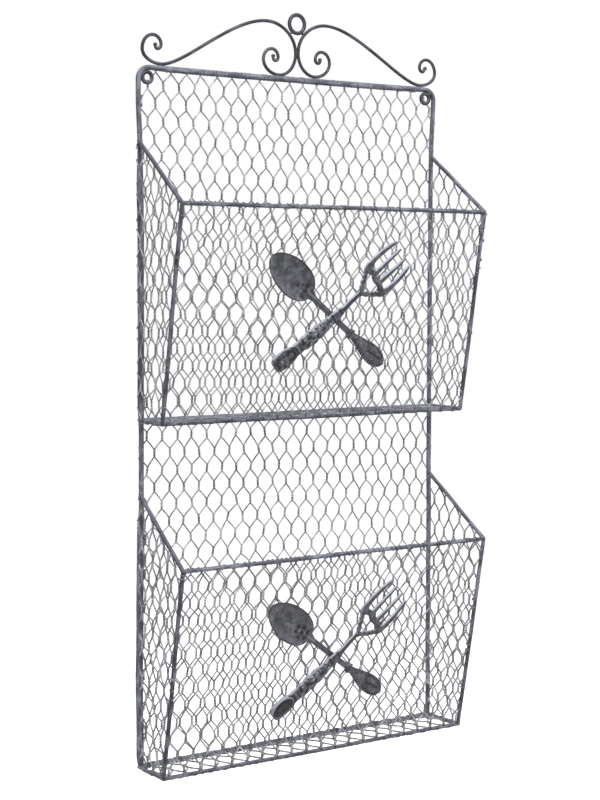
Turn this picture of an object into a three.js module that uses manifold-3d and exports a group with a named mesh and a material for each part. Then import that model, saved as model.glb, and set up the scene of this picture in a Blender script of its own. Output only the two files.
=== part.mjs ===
// Wall file organizer: a bent-wire wall rack with two slanting pockets of hexagonal wire
// netting, scrollwork on top and a crossed cast spoon and fork on each pocket's front.
// Millimetres, +Z up. The wall is the plane y = 0, the pockets reach out towards -Y,
// x = 0 is the middle and z = 0 is the centreline of the lower back rail.
import * as THREE from "three";
import { mergeVertices } from "three/addons/utils/BufferGeometryUtils.js";
import Module from "manifold-3d";

const wasm = await Module();
wasm.setup();

// Driving dimensions of the frame, centreline to centreline
const HOOP_WIDTH = 300;
const HOOP_HEIGHT = 570;
const HOOP_CORNER = 9.5;
const UPPER_POCKET = 286;
const POCKET_WIDTH = 304;
const BOTTOM_DEPTH = 41;
const MOUTH_DEPTH = 73;
const FRONT_HEIGHT = 173;
const SIDE_HEIGHT = 224;

// Gauges of the bar stock, as radii
const HOOP_R = 2.1;
const ROD_R = 1.75;
const SCROLL_R = 1.4;
const SIDES = 8;

// Gap kept between pieces that are welded or wired together
const GAP = 0.3;

// Rings for the hanging screws: radius of the wire's centreline, and of the wire
const CORNER_RING = 4.6;
const CENTRE_RING = 7.8;
const RING_R = 1.4;
const CORNER_RING_INSET = 8.7;

// Hexagonal netting: pitch across, and the share of a row that is twist and slant
const NET_COLUMNS = 8;
const NET_PITCH = HOOP_WIDTH / NET_COLUMNS;
const NET_TWIST = 0.53 * NET_PITCH;
const NET_SLANT = 0.48 * NET_PITCH;
const NET_THICKNESS = 1.8;
const TWIST_WIDTH = 2.6;
const WIRE_WIDTH = 1.7;

// Crossed cutlery on a pocket's front: the length of each casting, and how far its handle
// reaches back from the crossing
const FORK_LENGTH = 153.5;
const FORK_BACK = 70.5;
const SPOON_LENGTH = 155.5;
const SPOON_BACK = 69.5;

// Where the crossing point of each casting lies, as x and height up the front from the middle
// of its bottom rail, and its slope in degrees. They are tied on by hand, so pockets differ.
const LAID = {
  upper: {
    spoon: { x: 0.2, up: 85.3, slope: 143.4 },
    fork: { x: 1.3, up: 86.9, slope: 39 },
  },
  lower: {
    spoon: { x: -0.2, up: 87.4, slope: 143.7 },
    fork: { x: 1.1, up: 85.7, slope: 39.4 },
  },
};

// A regular bar has flats, and a flat lies this share of the radius from its centreline
const FLAT = Math.cos(Math.PI / SIDES);
const HOOP_Y = -HOOP_R * FLAT;
const LEG_X = HOOP_WIDTH / 2;
const SIDE_X = POCKET_WIDTH / 2;

const X = new THREE.Vector3(1, 0, 0);
const Y = new THREE.Vector3(0, 1, 0);
const Z = new THREE.Vector3(0, 0, 1);
const point = (x, y, z) => new THREE.Vector3(x, y, z);

// A closed geometry as a solid, and a solid as a geometry
function solid(geometry) {
  const bare = geometry.clone();
  bare.deleteAttribute("normal");
  bare.deleteAttribute("uv");
  const merged = mergeVertices(bare, 1e-4);
  return new wasm.Manifold(
    new wasm.Mesh({
      numProp: 3,
      vertProperties: new Float32Array(merged.attributes.position.array),
      triVerts: new Uint32Array(merged.index.array),
    }),
  );
}

function geometryOf(body) {
  const mesh = body.getMesh();
  const geometry = new THREE.BufferGeometry();
  geometry.setAttribute("position", new THREE.BufferAttribute(mesh.vertProperties, 3));
  geometry.setIndex(new THREE.BufferAttribute(mesh.triVerts, 1));
  geometry.computeVertexNormals();
  return geometry;
}

const largest = (body) => body.decompose().sort((a, b) => b.volume() - a.volume())[0];

// Finishes: dark grey lacquered steel, and cast metal with a darker patina
const steel = () =>
  new THREE.MeshStandardMaterial({ color: 0x5b5d66, roughness: 0.5, metalness: 0.6 });
const netSteel = () =>
  new THREE.MeshStandardMaterial({ color: 0x6b6d75, roughness: 0.55, metalness: 0.6 });
const cast = () =>
  new THREE.MeshStandardMaterial({ color: 0x45464c, roughness: 0.55, metalness: 0.7 });

const organizer = new THREE.Group();
function add(name, body, material, place) {
  const mesh = new THREE.Mesh(geometryOf(body), material);
  mesh.name = name;
  if (place) mesh.applyMatrix4(place);
  organizer.add(mesh);
  return mesh;
}

// A straight bar from a to b. Its flats face across and along the given direction.
function bar(a, b, radius, facing) {
  const along = b.clone().sub(a);
  const length = along.length();
  along.normalize();
  const across = new THREE.Vector3().crossVectors(along, facing).normalize();
  const towards = new THREE.Vector3().crossVectors(across, along);
  const shape = new THREE.CylinderGeometry(
    radius, radius, length, SIDES, 1, false, Math.PI / SIDES,
  );
  const place = new THREE.Matrix4().makeBasis(across, along, towards);
  place.setPosition(a.clone().add(b).multiplyScalar(0.5));
  return solid(shape.applyMatrix4(place));
}

// A bar bent along a flat path in the wall's plane. Each path point is (x, z), and each ring
// of the bar leans into the mitre of its two stretches, so the flats stay flat.
function bentBar(path, y, radius, closed) {
  const count = path.length;
  const position = [];
  const index = [];
  path.forEach((here, i) => {
    const before = closed || i > 0 ? path[(i + count - 1) % count] : null;
    const after = closed || i < count - 1 ? path[(i + 1) % count] : null;
    const inwards = before ? here.clone().sub(before).normalize() : null;
    const onwards = after ? after.clone().sub(here).normalize() : null;
    const first = inwards || onwards;
    const tangent = first.clone().add(onwards || inwards).normalize();
    const mitre = 1 / tangent.dot(first);
    for (let k = 0; k < SIDES; k++) {
      const turn = ((k + 0.5) / SIDES) * 2 * Math.PI;
      const side = Math.cos(turn) * radius * mitre;
      const out = y + Math.sin(turn) * radius;
      position.push(here.x - tangent.y * side, out, here.y + tangent.x * side);
    }
  });
  const rings = closed ? count : count - 1;
  for (let i = 0; i < rings; i++)
    for (let k = 0; k < SIDES; k++) {
      const a = i * SIDES + k;
      const b = i * SIDES + ((k + 1) % SIDES);
      const c = ((i + 1) % count) * SIDES + k;
      const d = ((i + 1) % count) * SIDES + ((k + 1) % SIDES);
      index.push(a, c, b, b, c, d);
    }
  if (!closed)
    for (let k = 1; k < SIDES - 1; k++) {
      const last = (count - 1) * SIDES;
      index.push(0, k, k + 1, last, last + k + 1, last + k);
    }
  const geometry = new THREE.BufferGeometry();
  geometry.setAttribute("position", new THREE.Float32BufferAttribute(position, 3));
  geometry.setIndex(index);
  return solid(geometry);
}

// A quarter of an ellipse between two extreme points of a curl, leaving a along the given axis
function quarter(a, b, startsAcross, steps) {
  const points = [];
  for (let i = 1; i <= steps; i++) {
    const turn = (i / steps) * (Math.PI / 2);
    const near = Math.sin(turn);
    const far = 1 - Math.cos(turn);
    points.push(
      new THREE.Vector2(
        a.x + (b.x - a.x) * (startsAcross ? near : far),
        a.y + (b.y - a.y) * (startsAcross ? far : near),
      ),
    );
  }
  return points;
}

// A curl through its extreme points, taken in turn at its top, side, bottom and other side
function curl(extremes, startsAcross, steps) {
  const points = [extremes[0]];
  for (let i = 1; i < extremes.length; i++)
    points.push(...quarter(extremes[i - 1], extremes[i], (i % 2 === 1) === startsAcross, steps));
  return points;
}

// Back frame: one bar bent into a tall hoop, open at its foot, where the lower back rail
// closes it
function hoopPath() {
  const foot = HOOP_Y;
  const path = [new THREE.Vector2(-LEG_X, foot)];
  const arc = (centreX, from, to) => {
    const steps = 5;
    for (let i = 0; i <= steps; i++) {
      const turn = from + ((to - from) * i) / steps;
      path.push(
        new THREE.Vector2(
          centreX + HOOP_CORNER * Math.cos(turn),
          HOOP_HEIGHT - HOOP_CORNER + HOOP_CORNER * Math.sin(turn),
        ),
      );
    }
  };
  arc(-LEG_X + HOOP_CORNER, Math.PI, Math.PI / 2);
  arc(LEG_X - HOOP_CORNER, Math.PI / 2, 0);
  path.push(new THREE.Vector2(LEG_X, foot));
  return path;
}
add("back_frame", bentBar(hoopPath(), HOOP_Y, HOOP_R, false), steel());

// The two legs grown by the gap, which cut the ends of every bar that butts against them
const legCutters = [-1, 1].map((side) =>
  bar(
    point(side * LEG_X, HOOP_Y, -2 * HOOP_R),
    point(side * LEG_X, HOOP_Y, HOOP_HEIGHT - HOOP_CORNER),
    HOOP_R + GAP / FLAT,
    Y,
  ),
);
const trim = (body, cutters) => cutters.reduce((rest, cutter) => rest.subtract(cutter), body);

// Netting in its own plane: a sheet with staggered six-sided gaps whose upright sides are the
// twists, cut to an outline. Outline points are (across, up), the sheet's middle is at 0, and
// slants cross between two rows at the height zigzag.
function netting(outline, zigzag = 0) {
  const xs = outline.map((p) => p.x);
  const ys = outline.map((p) => p.y);
  const half = NET_PITCH / 2;
  const row = NET_TWIST + NET_SLANT;
  const left = Math.floor(Math.min(...xs) / NET_PITCH) - 2;
  const right = Math.ceil(Math.max(...xs) / NET_PITCH) + 2;
  const low = Math.floor((Math.min(...ys) - zigzag) / row) - 2;
  const high = Math.ceil((Math.max(...ys) - zigzag) / row) + 2;
  const sheet = new THREE.Shape([
    new THREE.Vector2((left - 1) * NET_PITCH, zigzag + (low - 2) * row),
    new THREE.Vector2((right + 1) * NET_PITCH, zigzag + (low - 2) * row),
    new THREE.Vector2((right + 1) * NET_PITCH, zigzag + (high + 2) * row),
    new THREE.Vector2((left - 1) * NET_PITCH, zigzag + (high + 2) * row),
  ]);
  const slope = NET_SLANT / half;
  const tip = NET_TWIST / 2 + NET_SLANT - (WIRE_WIDTH / 2) * Math.hypot(1, slope);
  const wide = half - TWIST_WIDTH / 2;
  const shoulder = tip - slope * wide;
  const hexagon = [
    [0, tip], [-wide, shoulder], [-wide, -shoulder], [0, -tip], [wide, -shoulder], [wide, shoulder],
  ];
  for (let r = low; r <= high; r++)
    for (let c = left; c <= right; c++) {
      const x = (c + (r % 2 === 0 ? 0.5 : 0)) * NET_PITCH;
      const z = zigzag + (r + 0.5) * row;
      const gap = hexagon.map(([dx, dz]) => new THREE.Vector2(x + dx, z + dz));
      sheet.holes.push(new THREE.Path(gap));
    }
  const plate = (shape, thickness) => {
    const geometry = new THREE.ExtrudeGeometry(shape, { depth: thickness, bevelEnabled: false });
    return solid(geometry.translate(0, 0, -thickness / 2));
  };
  return largest(
    plate(sheet, NET_THICKNESS).intersect(plate(new THREE.Shape(outline), 2 * NET_THICKNESS)),
  );
}

// An outline drawn in by its own distance on each side. The side from point i to the next has
// margin i, and the points run anticlockwise.
function inset(outline, margins) {
  const lines = outline.map((p, i) => {
    const along = outline[(i + 1) % outline.length].clone().sub(p).normalize();
    const inwards = new THREE.Vector2(-along.y, along.x);
    return { at: p.clone().addScaledVector(inwards, margins[i]), along };
  });
  return lines.map((line, i) => {
    const before = lines[(i + lines.length - 1) % lines.length];
    const between = line.at.clone().sub(before.at);
    const reach = between.cross(line.along) / before.along.cross(line.along);
    return before.at.clone().addScaledVector(before.along, reach);
  });
}
const corners = (list) => list.map(([x, y]) => new THREE.Vector2(x, y));

// Back netting, in the hoop's plane. Its top corners are cut off below the hanging rings.
const frameMargin = HOOP_R + GAP;
const rodMargin = ROD_R + GAP;
const ringX = LEG_X - CORNER_RING_INSET;
const ringZ = HOOP_HEIGHT - CORNER_RING_INSET;
const wallPlane = new THREE.Matrix4().makeBasis(X, Z, Y.clone().negate()).setPosition(0, HOOP_Y, 0);
const ringReach = CORNER_RING_INSET * Math.SQRT2 + CORNER_RING + RING_R + GAP;
const cutCorner = ringReach * Math.SQRT2;
const backOutline = inset(
  corners([
    [-LEG_X, 0],
    [LEG_X, 0],
    [LEG_X, HOOP_HEIGHT - cutCorner],
    [LEG_X - cutCorner, HOOP_HEIGHT],
    [-LEG_X + cutCorner, HOOP_HEIGHT],
    [-LEG_X, HOOP_HEIGHT - cutCorner],
  ]),
  [frameMargin, frameMargin, 0, frameMargin, 0, frameMargin],
);
add("back_net", netting(backOutline), netSteel(), wallPlane);

// Back rails. The lower one closes the hoop, and the upper one crosses in front of the netting.
const upperRailY = HOOP_Y - NET_THICKNESS / 2 - GAP - ROD_R * FLAT;
add(
  "lower_back_rail",
  trim(bar(point(-LEG_X, HOOP_Y, 0), point(LEG_X, HOOP_Y, 0), HOOP_R, Y), legCutters),
  steel(),
);
add(
  "upper_back_rail",
  trim(
    bar(point(-LEG_X, upperRailY, UPPER_POCKET), point(LEG_X, upperRailY, UPPER_POCKET), ROD_R, Y),
    legCutters,
  ),
  steel(),
);

// Cast cutlery, drawn along its own length u, across v and out of the pocket's front w.
// Each section has a flat or dished back and a crowned or dished face.
const ease = (from, to, u) => THREE.MathUtils.smoothstep(u, from, to);

function loft(stations, across, halfWidth, face, back) {
  const position = [];
  const index = [];
  const ring = 2 * (across + 1);
  for (const u of stations) {
    const wide = halfWidth(u);
    const shares = Array.from({ length: across + 1 }, (_, j) => (2 * j) / across - 1);
    for (const f of shares) position.push(u, wide * f, face(u, f));
    for (const f of shares.reverse()) position.push(u, wide * f, back(u, f));
  }
  for (let i = 0; i < stations.length - 1; i++)
    for (let k = 0; k < ring; k++) {
      const a = i * ring + k;
      const b = i * ring + ((k + 1) % ring);
      index.push(a, a + ring, b, b, a + ring, b + ring);
    }
  const last = (stations.length - 1) * ring;
  for (let j = 0; j < across; j++) {
    const a = j;
    const b = j + 1;
    const c = ring - 2 - j;
    const d = ring - 1 - j;
    index.push(a, b, c, a, c, d);
    index.push(last + a, last + c, last + b, last + a, last + d, last + c);
  }
  const geometry = new THREE.BufferGeometry();
  geometry.setAttribute("position", new THREE.Float32BufferAttribute(position, 3));
  geometry.setIndex(index);
  return solid(geometry);
}

// Everything on the front stands on the front netting
const SEAT = NET_THICKNESS / 2 + GAP;

// A profile given as [place, value] pairs, eased from each pair to the next
function profile(pairs, u) {
  let value = pairs[0][1];
  for (let i = 1; i < pairs.length; i++)
    value += (pairs[i][1] - pairs[i - 1][1]) * ease(pairs[i - 1][0], pairs[i][0], u);
  return value;
}

// Spoon: a teardrop handle end, a collar, a slim stem and an egg-shaped dished bowl. Its bowl
// is made of an ellipse whose far half is a little narrower than its near half.
const SPOON = {
  teardrop: 8.3, teardropPeak: 14, taperEnd: 48,
  collar: 4.4, collarFrom: 43, collarTo: 48,
  stem: 2.5, neck: 4, neckLength: 6,
  bowl: 15.1, bowlStart: 102, bowlTaper: 0.12, bowlDish: 3.4, bowlLift: [90, 112],
  thickness: 1.7, crown: 0.9,
};
const BOWL_STEPS = 14;
const SPOON_ACROSS = 8;
const bowlShare = (u) => {
  const middle = (SPOON.bowlStart + SPOON_LENGTH) / 2;
  return (u - middle) / (SPOON_LENGTH - middle);
};
function spoonHalfWidth(u) {
  const s = SPOON;
  if (u < s.teardropPeak) {
    const share = (s.teardropPeak - u) / s.teardropPeak;
    return Math.max(s.stem / 2, s.teardrop * Math.sqrt(1 - share ** 2));
  }
  const taper = profile([[s.teardropPeak, s.teardrop], [s.taperEnd, s.stem]], u);
  const collar = u >= s.collarFrom && u <= s.collarTo ? s.collar : 0;
  const t = bowlShare(u);
  const egg = Math.abs(t) < 1 ? s.bowl * Math.sqrt(1 - t * t) * (1 - s.bowlTaper * t) : 0;
  const neck = u > s.bowlStart - s.neckLength
    ? profile([[s.bowlStart - s.neckLength, s.stem], [s.bowlStart, s.neck]], u)
    : 0;
  return Math.max(taper, collar, egg, neck);
}
const dishAt = (u) => SPOON.bowlDish * Math.max(0, 1 - bowlShare(u) ** 2);
const spoonRim = (u) => SEAT + SPOON.thickness + SPOON.bowlDish * ease(...SPOON.bowlLift, u);
function spoonFace(u, f) {
  const crown = SPOON.crown * (1 - f * f) * (1 - ease(SPOON.bowlStart - 6, SPOON.bowlStart + 4, u));
  return spoonRim(u) + crown - dishAt(u) * (1 - f * f);
}
const spoonBack = (u, f) => spoonRim(u) - SPOON.thickness - dishAt(u) * (1 - f * f);
function spoon() {
  const s = SPOON;
  const step = 0.1;
  const stations = [0.3, 1.5, 4, 8, s.teardropPeak, 20, 26, 32, 38];
  stations.push(s.collarFrom - step, s.collarFrom, s.collarTo, s.collarTo + step);
  for (let u = 56; u < s.bowlStart - 2; u += 8) stations.push(u);
  for (let i = 0; i <= BOWL_STEPS; i++) {
    const share = (1 - Math.cos((Math.PI * i) / BOWL_STEPS)) / 2;
    stations.push(s.bowlStart + share * (SPOON_LENGTH - s.bowlStart - 2 * step));
  }
  return loft(stations, SPOON_ACROSS, spoonHalfWidth, spoonFace, spoonBack);
}

// Fork: a medallion end, a waist, a broad leaf-shaped handle, a slim neck and an openwork head
// with four tines. It arches over the spoon's stem at the crossing. Its outline is a profile
// of [place, half width] pairs, and the neck runs on into the head.
const FORK_OUTLINE = [
  [0, 3.6], [3.5, 6.6], [9, 7.6], [15, 7.4], [23, 4.9], [29, 5], [39, 6.6], [50, 6.3], [66, 3.4],
  [76, 2.7],
];
const FORK = {
  neck: 2.7, neckEnd: 101.5, arch: 3.1, archFlat: 1.15,
  handleHeight: 3.8, headHeight: 2, thinFrom: 56, rounding: 1.1,
};
const FORK_ACROSS = 6;
const forkHalfWidth = (u) => profile(FORK_OUTLINE, u);
function forkBackLine(u) {
  const t = u < FORK_BACK ? u / FORK_BACK : (FORK_LENGTH - u) / (FORK_LENGTH - FORK_BACK);
  return SEAT + FORK.arch * Math.sin((Math.PI / 2) * Math.min(1, FORK.archFlat * t));
}
const forkHeight = (u) =>
  profile([[FORK.thinFrom, FORK.handleHeight], [FORK.neckEnd, FORK.headHeight]], u);
const forkFace = (u, f) => forkBackLine(u) + forkHeight(u) - FORK.rounding * f ** 4;

// The head's outline and opening on one side of the middle; the other side is their mirror
// image. The arms leave the neck, step out at the shoulders and end in the outer tines, and a
// scalloped bar between them carries the inner tines.
const TINE = { tip: 0.8, outerTip: 12.9, innerTip: 4.9, innerRoot: [124.5, 7, 2.2] };
function forkHeadOutline() {
  const outer = new THREE.Path();
  outer.moveTo(97.5, FORK.neck);
  outer.quadraticCurveTo(101.5, 3.2, 104, 6.9);
  outer.lineTo(106.7, 7.4);
  outer.quadraticCurveTo(109.5, 12.5, 114, 15.2);
  outer.quadraticCurveTo(121, 19.2, 130, 18);
  outer.quadraticCurveTo(140, 16.4, FORK_LENGTH, TINE.outerTip + TINE.tip);
  outer.lineTo(FORK_LENGTH, TINE.outerTip - TINE.tip);
  outer.quadraticCurveTo(139.5, 13.2, 127.5, 12.6);
  const [root, rootOut, rootIn] = TINE.innerRoot;
  outer.quadraticCurveTo(121, 10, root, rootOut);
  outer.lineTo(FORK_LENGTH - 0.5, TINE.innerTip + TINE.tip);
  outer.lineTo(FORK_LENGTH - 0.5, TINE.innerTip - TINE.tip);
  outer.lineTo(root, rootIn);
  outer.quadraticCurveTo(122.6, 1.5, 122.4, 0);
  return outer;
}
function forkHeadOpening() {
  const opening = new THREE.Path();
  opening.moveTo(105.3, 0);
  opening.quadraticCurveTo(107.2, 3.9, 110.8, 5.8);
  opening.quadraticCurveTo(113.2, 8.6, 115.1, 8.1);
  opening.quadraticCurveTo(117.8, 6.2, 116.8, 3.6);
  opening.quadraticCurveTo(114.4, 2.6, 114.6, 0);
  return opening;
}
function forkHeadShape() {
  const mirrored = (points) => points.reverse().map((p) => new THREE.Vector2(p.x, -p.y));
  const half = forkHeadOutline().getPoints(4);
  const shape = new THREE.Shape([...half, ...mirrored(half.slice(0, -1))].reverse());
  const side = forkHeadOpening().getPoints(3);
  shape.holes.push(new THREE.Path([...side, ...mirrored(side.slice(1, -1))]));
  return shape;
}
function fork() {
  const places = FORK_OUTLINE.map(([u]) => u);
  const between = places.slice(1).map((u, i) => (u + places[i]) / 2);
  const stations = [...places, ...between, 1, 84, 92, FORK.neckEnd - 1].sort((a, b) => a - b);
  const handle = loft(stations, FORK_ACROSS, forkHalfWidth, forkFace, forkBackLine);
  const head = new THREE.ExtrudeGeometry(forkHeadShape(), {
    depth: FORK.headHeight, bevelEnabled: false,
  });
  const spots = head.attributes.position;
  for (let i = 0; i < spots.count; i++)
    spots.setZ(i, spots.getZ(i) + forkBackLine(spots.getX(i)));
  return largest(handle.add(solid(head)));
}

// Scrolls: one bar curled outwards at the hoop's corner, rising to a crest beside the middle
// and curling under itself. Extreme points are (x, height above the hoop's top rail). The
// whole scrollwork is welded on a little to the right of the hoop's middle.
const SCROLL_SHIFT = 3;
const scrollRest = (HOOP_R + SCROLL_R) * FLAT + GAP;
const OUTER_CURL = corners([
  [-137.4, 18.6], [-135.3, 15.6], [-132, 19.3], [-139.5, 26.4], [-149.3, 14.8],
  [-132.2, scrollRest],
]);
const INNER_CURL = corners([
  [-30, 47.5], [-SCROLL_R * FLAT - GAP / 2, 22.5], [-18.4, scrollRest], [-33.8, 15.8],
  [-25.3, 24.9], [-19, 18.2], [-21.9, 15.2], [-24, 17.8],
]);
const RISE_START = 21;
const RISE_END = 34;
function scrollPath() {
  const outward = curl(OUTER_CURL, false, 5);
  const foot = OUTER_CURL[OUTER_CURL.length - 1];
  const crest = INNER_CURL[0];
  const rise = new THREE.CubicBezierCurve(
    foot,
    new THREE.Vector2(foot.x + RISE_START, foot.y),
    new THREE.Vector2(crest.x - RISE_END, crest.y),
    crest,
  );
  const inward = curl(INNER_CURL, true, 5);
  return [...outward, ...rise.getPoints(11).slice(1, -1), ...inward].map(
    (p) => new THREE.Vector2(p.x, p.y + HOOP_HEIGHT),
  );
}
const leftScroll = bentBar(scrollPath(), HOOP_Y, SCROLL_R, false);
const scrollPlace = new THREE.Matrix4().makeTranslation(SCROLL_SHIFT, 0, 0);
add("left_scroll", leftScroll, steel(), scrollPlace);
add("right_scroll", leftScroll.mirror([1, 0, 0]), steel(), scrollPlace);

// Rings of round wire: one on the two crests and one in each top corner of the hoop
function ring(x, z, radius, steps) {
  const path = [];
  for (let i = 0; i < steps; i++) {
    const turn = -((i + 0.5) / steps) * 2 * Math.PI;
    path.push(new THREE.Vector2(x + radius * Math.cos(turn), z + radius * Math.sin(turn)));
  }
  return bentBar(path, HOOP_Y, RING_R, true);
}
const CENTRE_RING_UP = 46.2;
const centreRing = ring(SCROLL_SHIFT, HOOP_HEIGHT + CENTRE_RING_UP, CENTRE_RING, 20);
add("centre_ring", centreRing, steel());
add("left_hanger_ring", ring(-ringX, ringZ, CORNER_RING, 16), steel());
add("right_hanger_ring", ring(ringX, ringZ, CORNER_RING, 16), steel());

// A pocket: a bottom frame, a front frame that leans out, two sloping side rods, netting in
// its front, sides and bottom, and the crossed spoon and fork
function pocket(prefix, base, backEdge) {
  const bottomY = HOOP_Y - BOTTOM_DEPTH;
  const mouthY = HOOP_Y - MOUTH_DEPTH;
  const topZ = base + FRONT_HEIGHT;
  const end = SIDE_X + ROD_R * FLAT;
  const rail = (y, z, grow) =>
    bar(point(-end - grow, y, z), point(end + grow, y, z), ROD_R + grow, Y);
  add(prefix + "_front_top_rail", rail(mouthY, topZ, 0), steel());
  add(prefix + "_front_bottom_rail", rail(bottomY, base, 0), steel());
  const railCutters = [rail(mouthY, topZ, GAP), rail(bottomY, base, GAP)];

  for (const [side, word] of [[-1, "left"], [1, "right"]]) {
    const x = side * SIDE_X;
    const low = point(x, bottomY, base);
    const high = point(x, mouthY, topZ);
    const post = (grow) => bar(low, high, ROD_R + grow, X);
    add(`${prefix}_${word}_front_post`, trim(post(0), railCutters), steel());
    const bottomRod = bar(point(x, HOOP_Y, base), low, ROD_R, X);
    const cutters = [...railCutters, ...legCutters, post(GAP)];
    add(`${prefix}_${word}_bottom_rod`, trim(bottomRod, cutters), steel());
    const slopeRod = bar(point(x, HOOP_Y, base + SIDE_HEIGHT), high, ROD_R, X);
    add(`${prefix}_${word}_slope_rod`, trim(slopeRod, cutters), steel());

    // Outline of the side netting as (distance out from the wall, height above the base)
    const legFront = -2 * HOOP_Y;
    const fall = (SIDE_HEIGHT - FRONT_HEIGHT) / MOUTH_DEPTH;
    const backTop = SIDE_HEIGHT - fall * (legFront + HOOP_Y);
    const outline = inset(
      corners([[legFront, 0], [-bottomY, 0], [-mouthY, FRONT_HEIGHT], [legFront, backTop]]),
      [rodMargin, rodMargin, rodMargin, GAP],
    );
    const sidePlane = new THREE.Matrix4().makeBasis(Y.clone().negate(), Z, X.clone().negate());
    sidePlane.setPosition(x, 0, base);
    add(`${prefix}_${word}_net`, netting(outline), netSteel(), sidePlane);
  }

  const frontUp = point(0, mouthY - bottomY, FRONT_HEIGHT).normalize();
  const frontOut = new THREE.Vector3().crossVectors(X, frontUp);
  const frontPlane = new THREE.Matrix4().makeBasis(X, frontUp, frontOut);
  frontPlane.setPosition(0, bottomY, base);
  const slantHeight = Math.hypot(FRONT_HEIGHT, MOUTH_DEPTH - BOTTOM_DEPTH);
  const margins = [rodMargin, rodMargin, rodMargin, rodMargin];
  const front = corners([
    [-SIDE_X, 0], [SIDE_X, 0], [SIDE_X, slantHeight], [-SIDE_X, slantHeight],
  ]);
  add(prefix + "_front_net", netting(inset(front, margins)), netSteel(), frontPlane);

  const floor = corners([
    [-SIDE_X, backEdge], [SIDE_X, backEdge], [SIDE_X, -bottomY], [-SIDE_X, -bottomY],
  ]);
  const floorPlane = new THREE.Matrix4().makeBasis(X, Y.clone().negate(), Z.clone().negate());
  floorPlane.setPosition(0, 0, base);
  const floorOutline = inset(floor, [GAP, rodMargin, rodMargin, rodMargin]);
  const floorMiddle = (backEdge - bottomY) / 2;
  add(prefix + "_bottom_net", netting(floorOutline, floorMiddle), netSteel(), floorPlane);

  const lay = ({ x, up, slope }, back) =>
    frontPlane
      .clone()
      .multiply(new THREE.Matrix4().makeTranslation(x, up, 0))
      .multiply(new THREE.Matrix4().makeRotationZ(THREE.MathUtils.degToRad(slope)))
      .multiply(new THREE.Matrix4().makeTranslation(-back, 0, 0));
  add(prefix + "_spoon", spoon(), cast(), lay(LAID[prefix].spoon, SPOON_BACK));
  add(prefix + "_fork", fork(), cast(), lay(LAID[prefix].fork, FORK_BACK));
}

// The lower pocket's floor netting starts at the lower back rail, the upper one's at its own
pocket("lower", 0, -2 * HOOP_Y);
pocket("upper", UPPER_POCKET, -upperRailY + ROD_R * FLAT);

export default organizer;
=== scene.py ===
# %% [markdown]
# Wall file organizer
#
# A rack of welded steel rod with two slanting pockets of hexagonal wire netting. The frame
# that we load gives every rod, ring and panel its place; this lesson dresses it. Rods become
# round and slightly uneven, the coarse netting becomes real twisted wire, and the spoon and
# fork get their cast relief.

# %% Load the frame
import math
from collections import namedtuple

import bpy
import numpy as np
from mathutils import Matrix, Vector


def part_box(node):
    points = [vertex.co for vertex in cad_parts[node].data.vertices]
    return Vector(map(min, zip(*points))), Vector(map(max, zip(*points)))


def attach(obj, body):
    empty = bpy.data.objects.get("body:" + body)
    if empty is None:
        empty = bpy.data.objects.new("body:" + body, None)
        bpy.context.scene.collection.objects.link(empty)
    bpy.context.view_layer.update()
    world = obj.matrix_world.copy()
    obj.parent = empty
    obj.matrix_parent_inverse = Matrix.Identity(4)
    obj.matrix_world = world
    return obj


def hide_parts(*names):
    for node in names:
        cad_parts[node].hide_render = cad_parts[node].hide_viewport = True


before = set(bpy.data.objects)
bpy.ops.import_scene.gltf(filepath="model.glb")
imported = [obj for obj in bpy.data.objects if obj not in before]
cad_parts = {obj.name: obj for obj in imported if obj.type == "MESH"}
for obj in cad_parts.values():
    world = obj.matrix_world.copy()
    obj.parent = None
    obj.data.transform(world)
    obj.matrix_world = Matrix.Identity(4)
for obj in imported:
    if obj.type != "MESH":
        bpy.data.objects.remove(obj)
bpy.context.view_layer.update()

MM = 0.001

# %% [markdown]
# Every place in this scene is read from the frame. A bar of eight flat sides is a little
# thinner across its flats than the round bar that it stands for, so the real radius is the
# measured half height divided by the cosine of 22.5 degrees. Three sizes show in no box and
# are given here: the bend of the hoop's corners, the height of a pocket's side at the leg,
# and the radius of the netting's wire.

# %% Measure the frame


def box(node):
    """Lowest and highest corner of a node, as two arrays."""
    low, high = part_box(node)
    return np.array(low, float), np.array(high, float)


def middle(node):
    """Centre of a node's box."""
    low, high = box(node)
    return (low + high) / 2


def front_rails(prefix):
    """Middles of the bottom and the top rail of a pocket's front."""
    return middle(prefix + "_front_bottom_rail"), middle(prefix + "_front_top_rail")


FLAT = math.cos(math.pi / 8)
hoop_low, hoop_high = box("back_frame")
HOOP_FLAT = -hoop_low[1] / 2
HOOP_R = HOOP_FLAT / FLAT
HOOP_Y = -HOOP_FLAT
LEG_X = hoop_high[0] - HOOP_FLAT
RAIL_Z = hoop_high[2] - HOOP_FLAT
rail_low, rail_high = box("upper_front_top_rail")
ROD_R = (rail_high[2] - rail_low[2]) / 2 / FLAT
SIDE_X = middle("upper_right_bottom_rod")[0]
HOOP_CORNER = 9.5 * MM
SIDE_HEIGHT = 224 * MM
WIRE_R = 0.57 * MM
ACROSS = np.array([1.0, 0.0, 0.0])
WALLWARD = np.array([0.0, 1.0, 0.0])
FRONT = np.array([0.0, -1.0, 0.0])
UP = np.array([0.0, 0.0, 1.0])
print("hoop radius", HOOP_R, "rod radius", ROD_R, "legs at", LEG_X, "sides at", SIDE_X)

# %% [markdown]
# Blender meshes can be filled straight from numpy arrays. All shapes below come out as an
# array of points and arrays of faces, so one helper turns a list of such parts into an object
# that rides on the frame, stands for its node and takes a material.

# %% Helpers that turn arrays into pieces


def joined(parts):
    """One part out of many: points are stacked, and each part's faces are moved up by the
    number of points before them."""
    points = np.concatenate([part[0] for part in parts])
    faces = []
    before = 0
    for part in parts:
        faces += [face_set + before for face_set in part[1]]
        before += len(part[0])
    return points, faces


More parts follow.
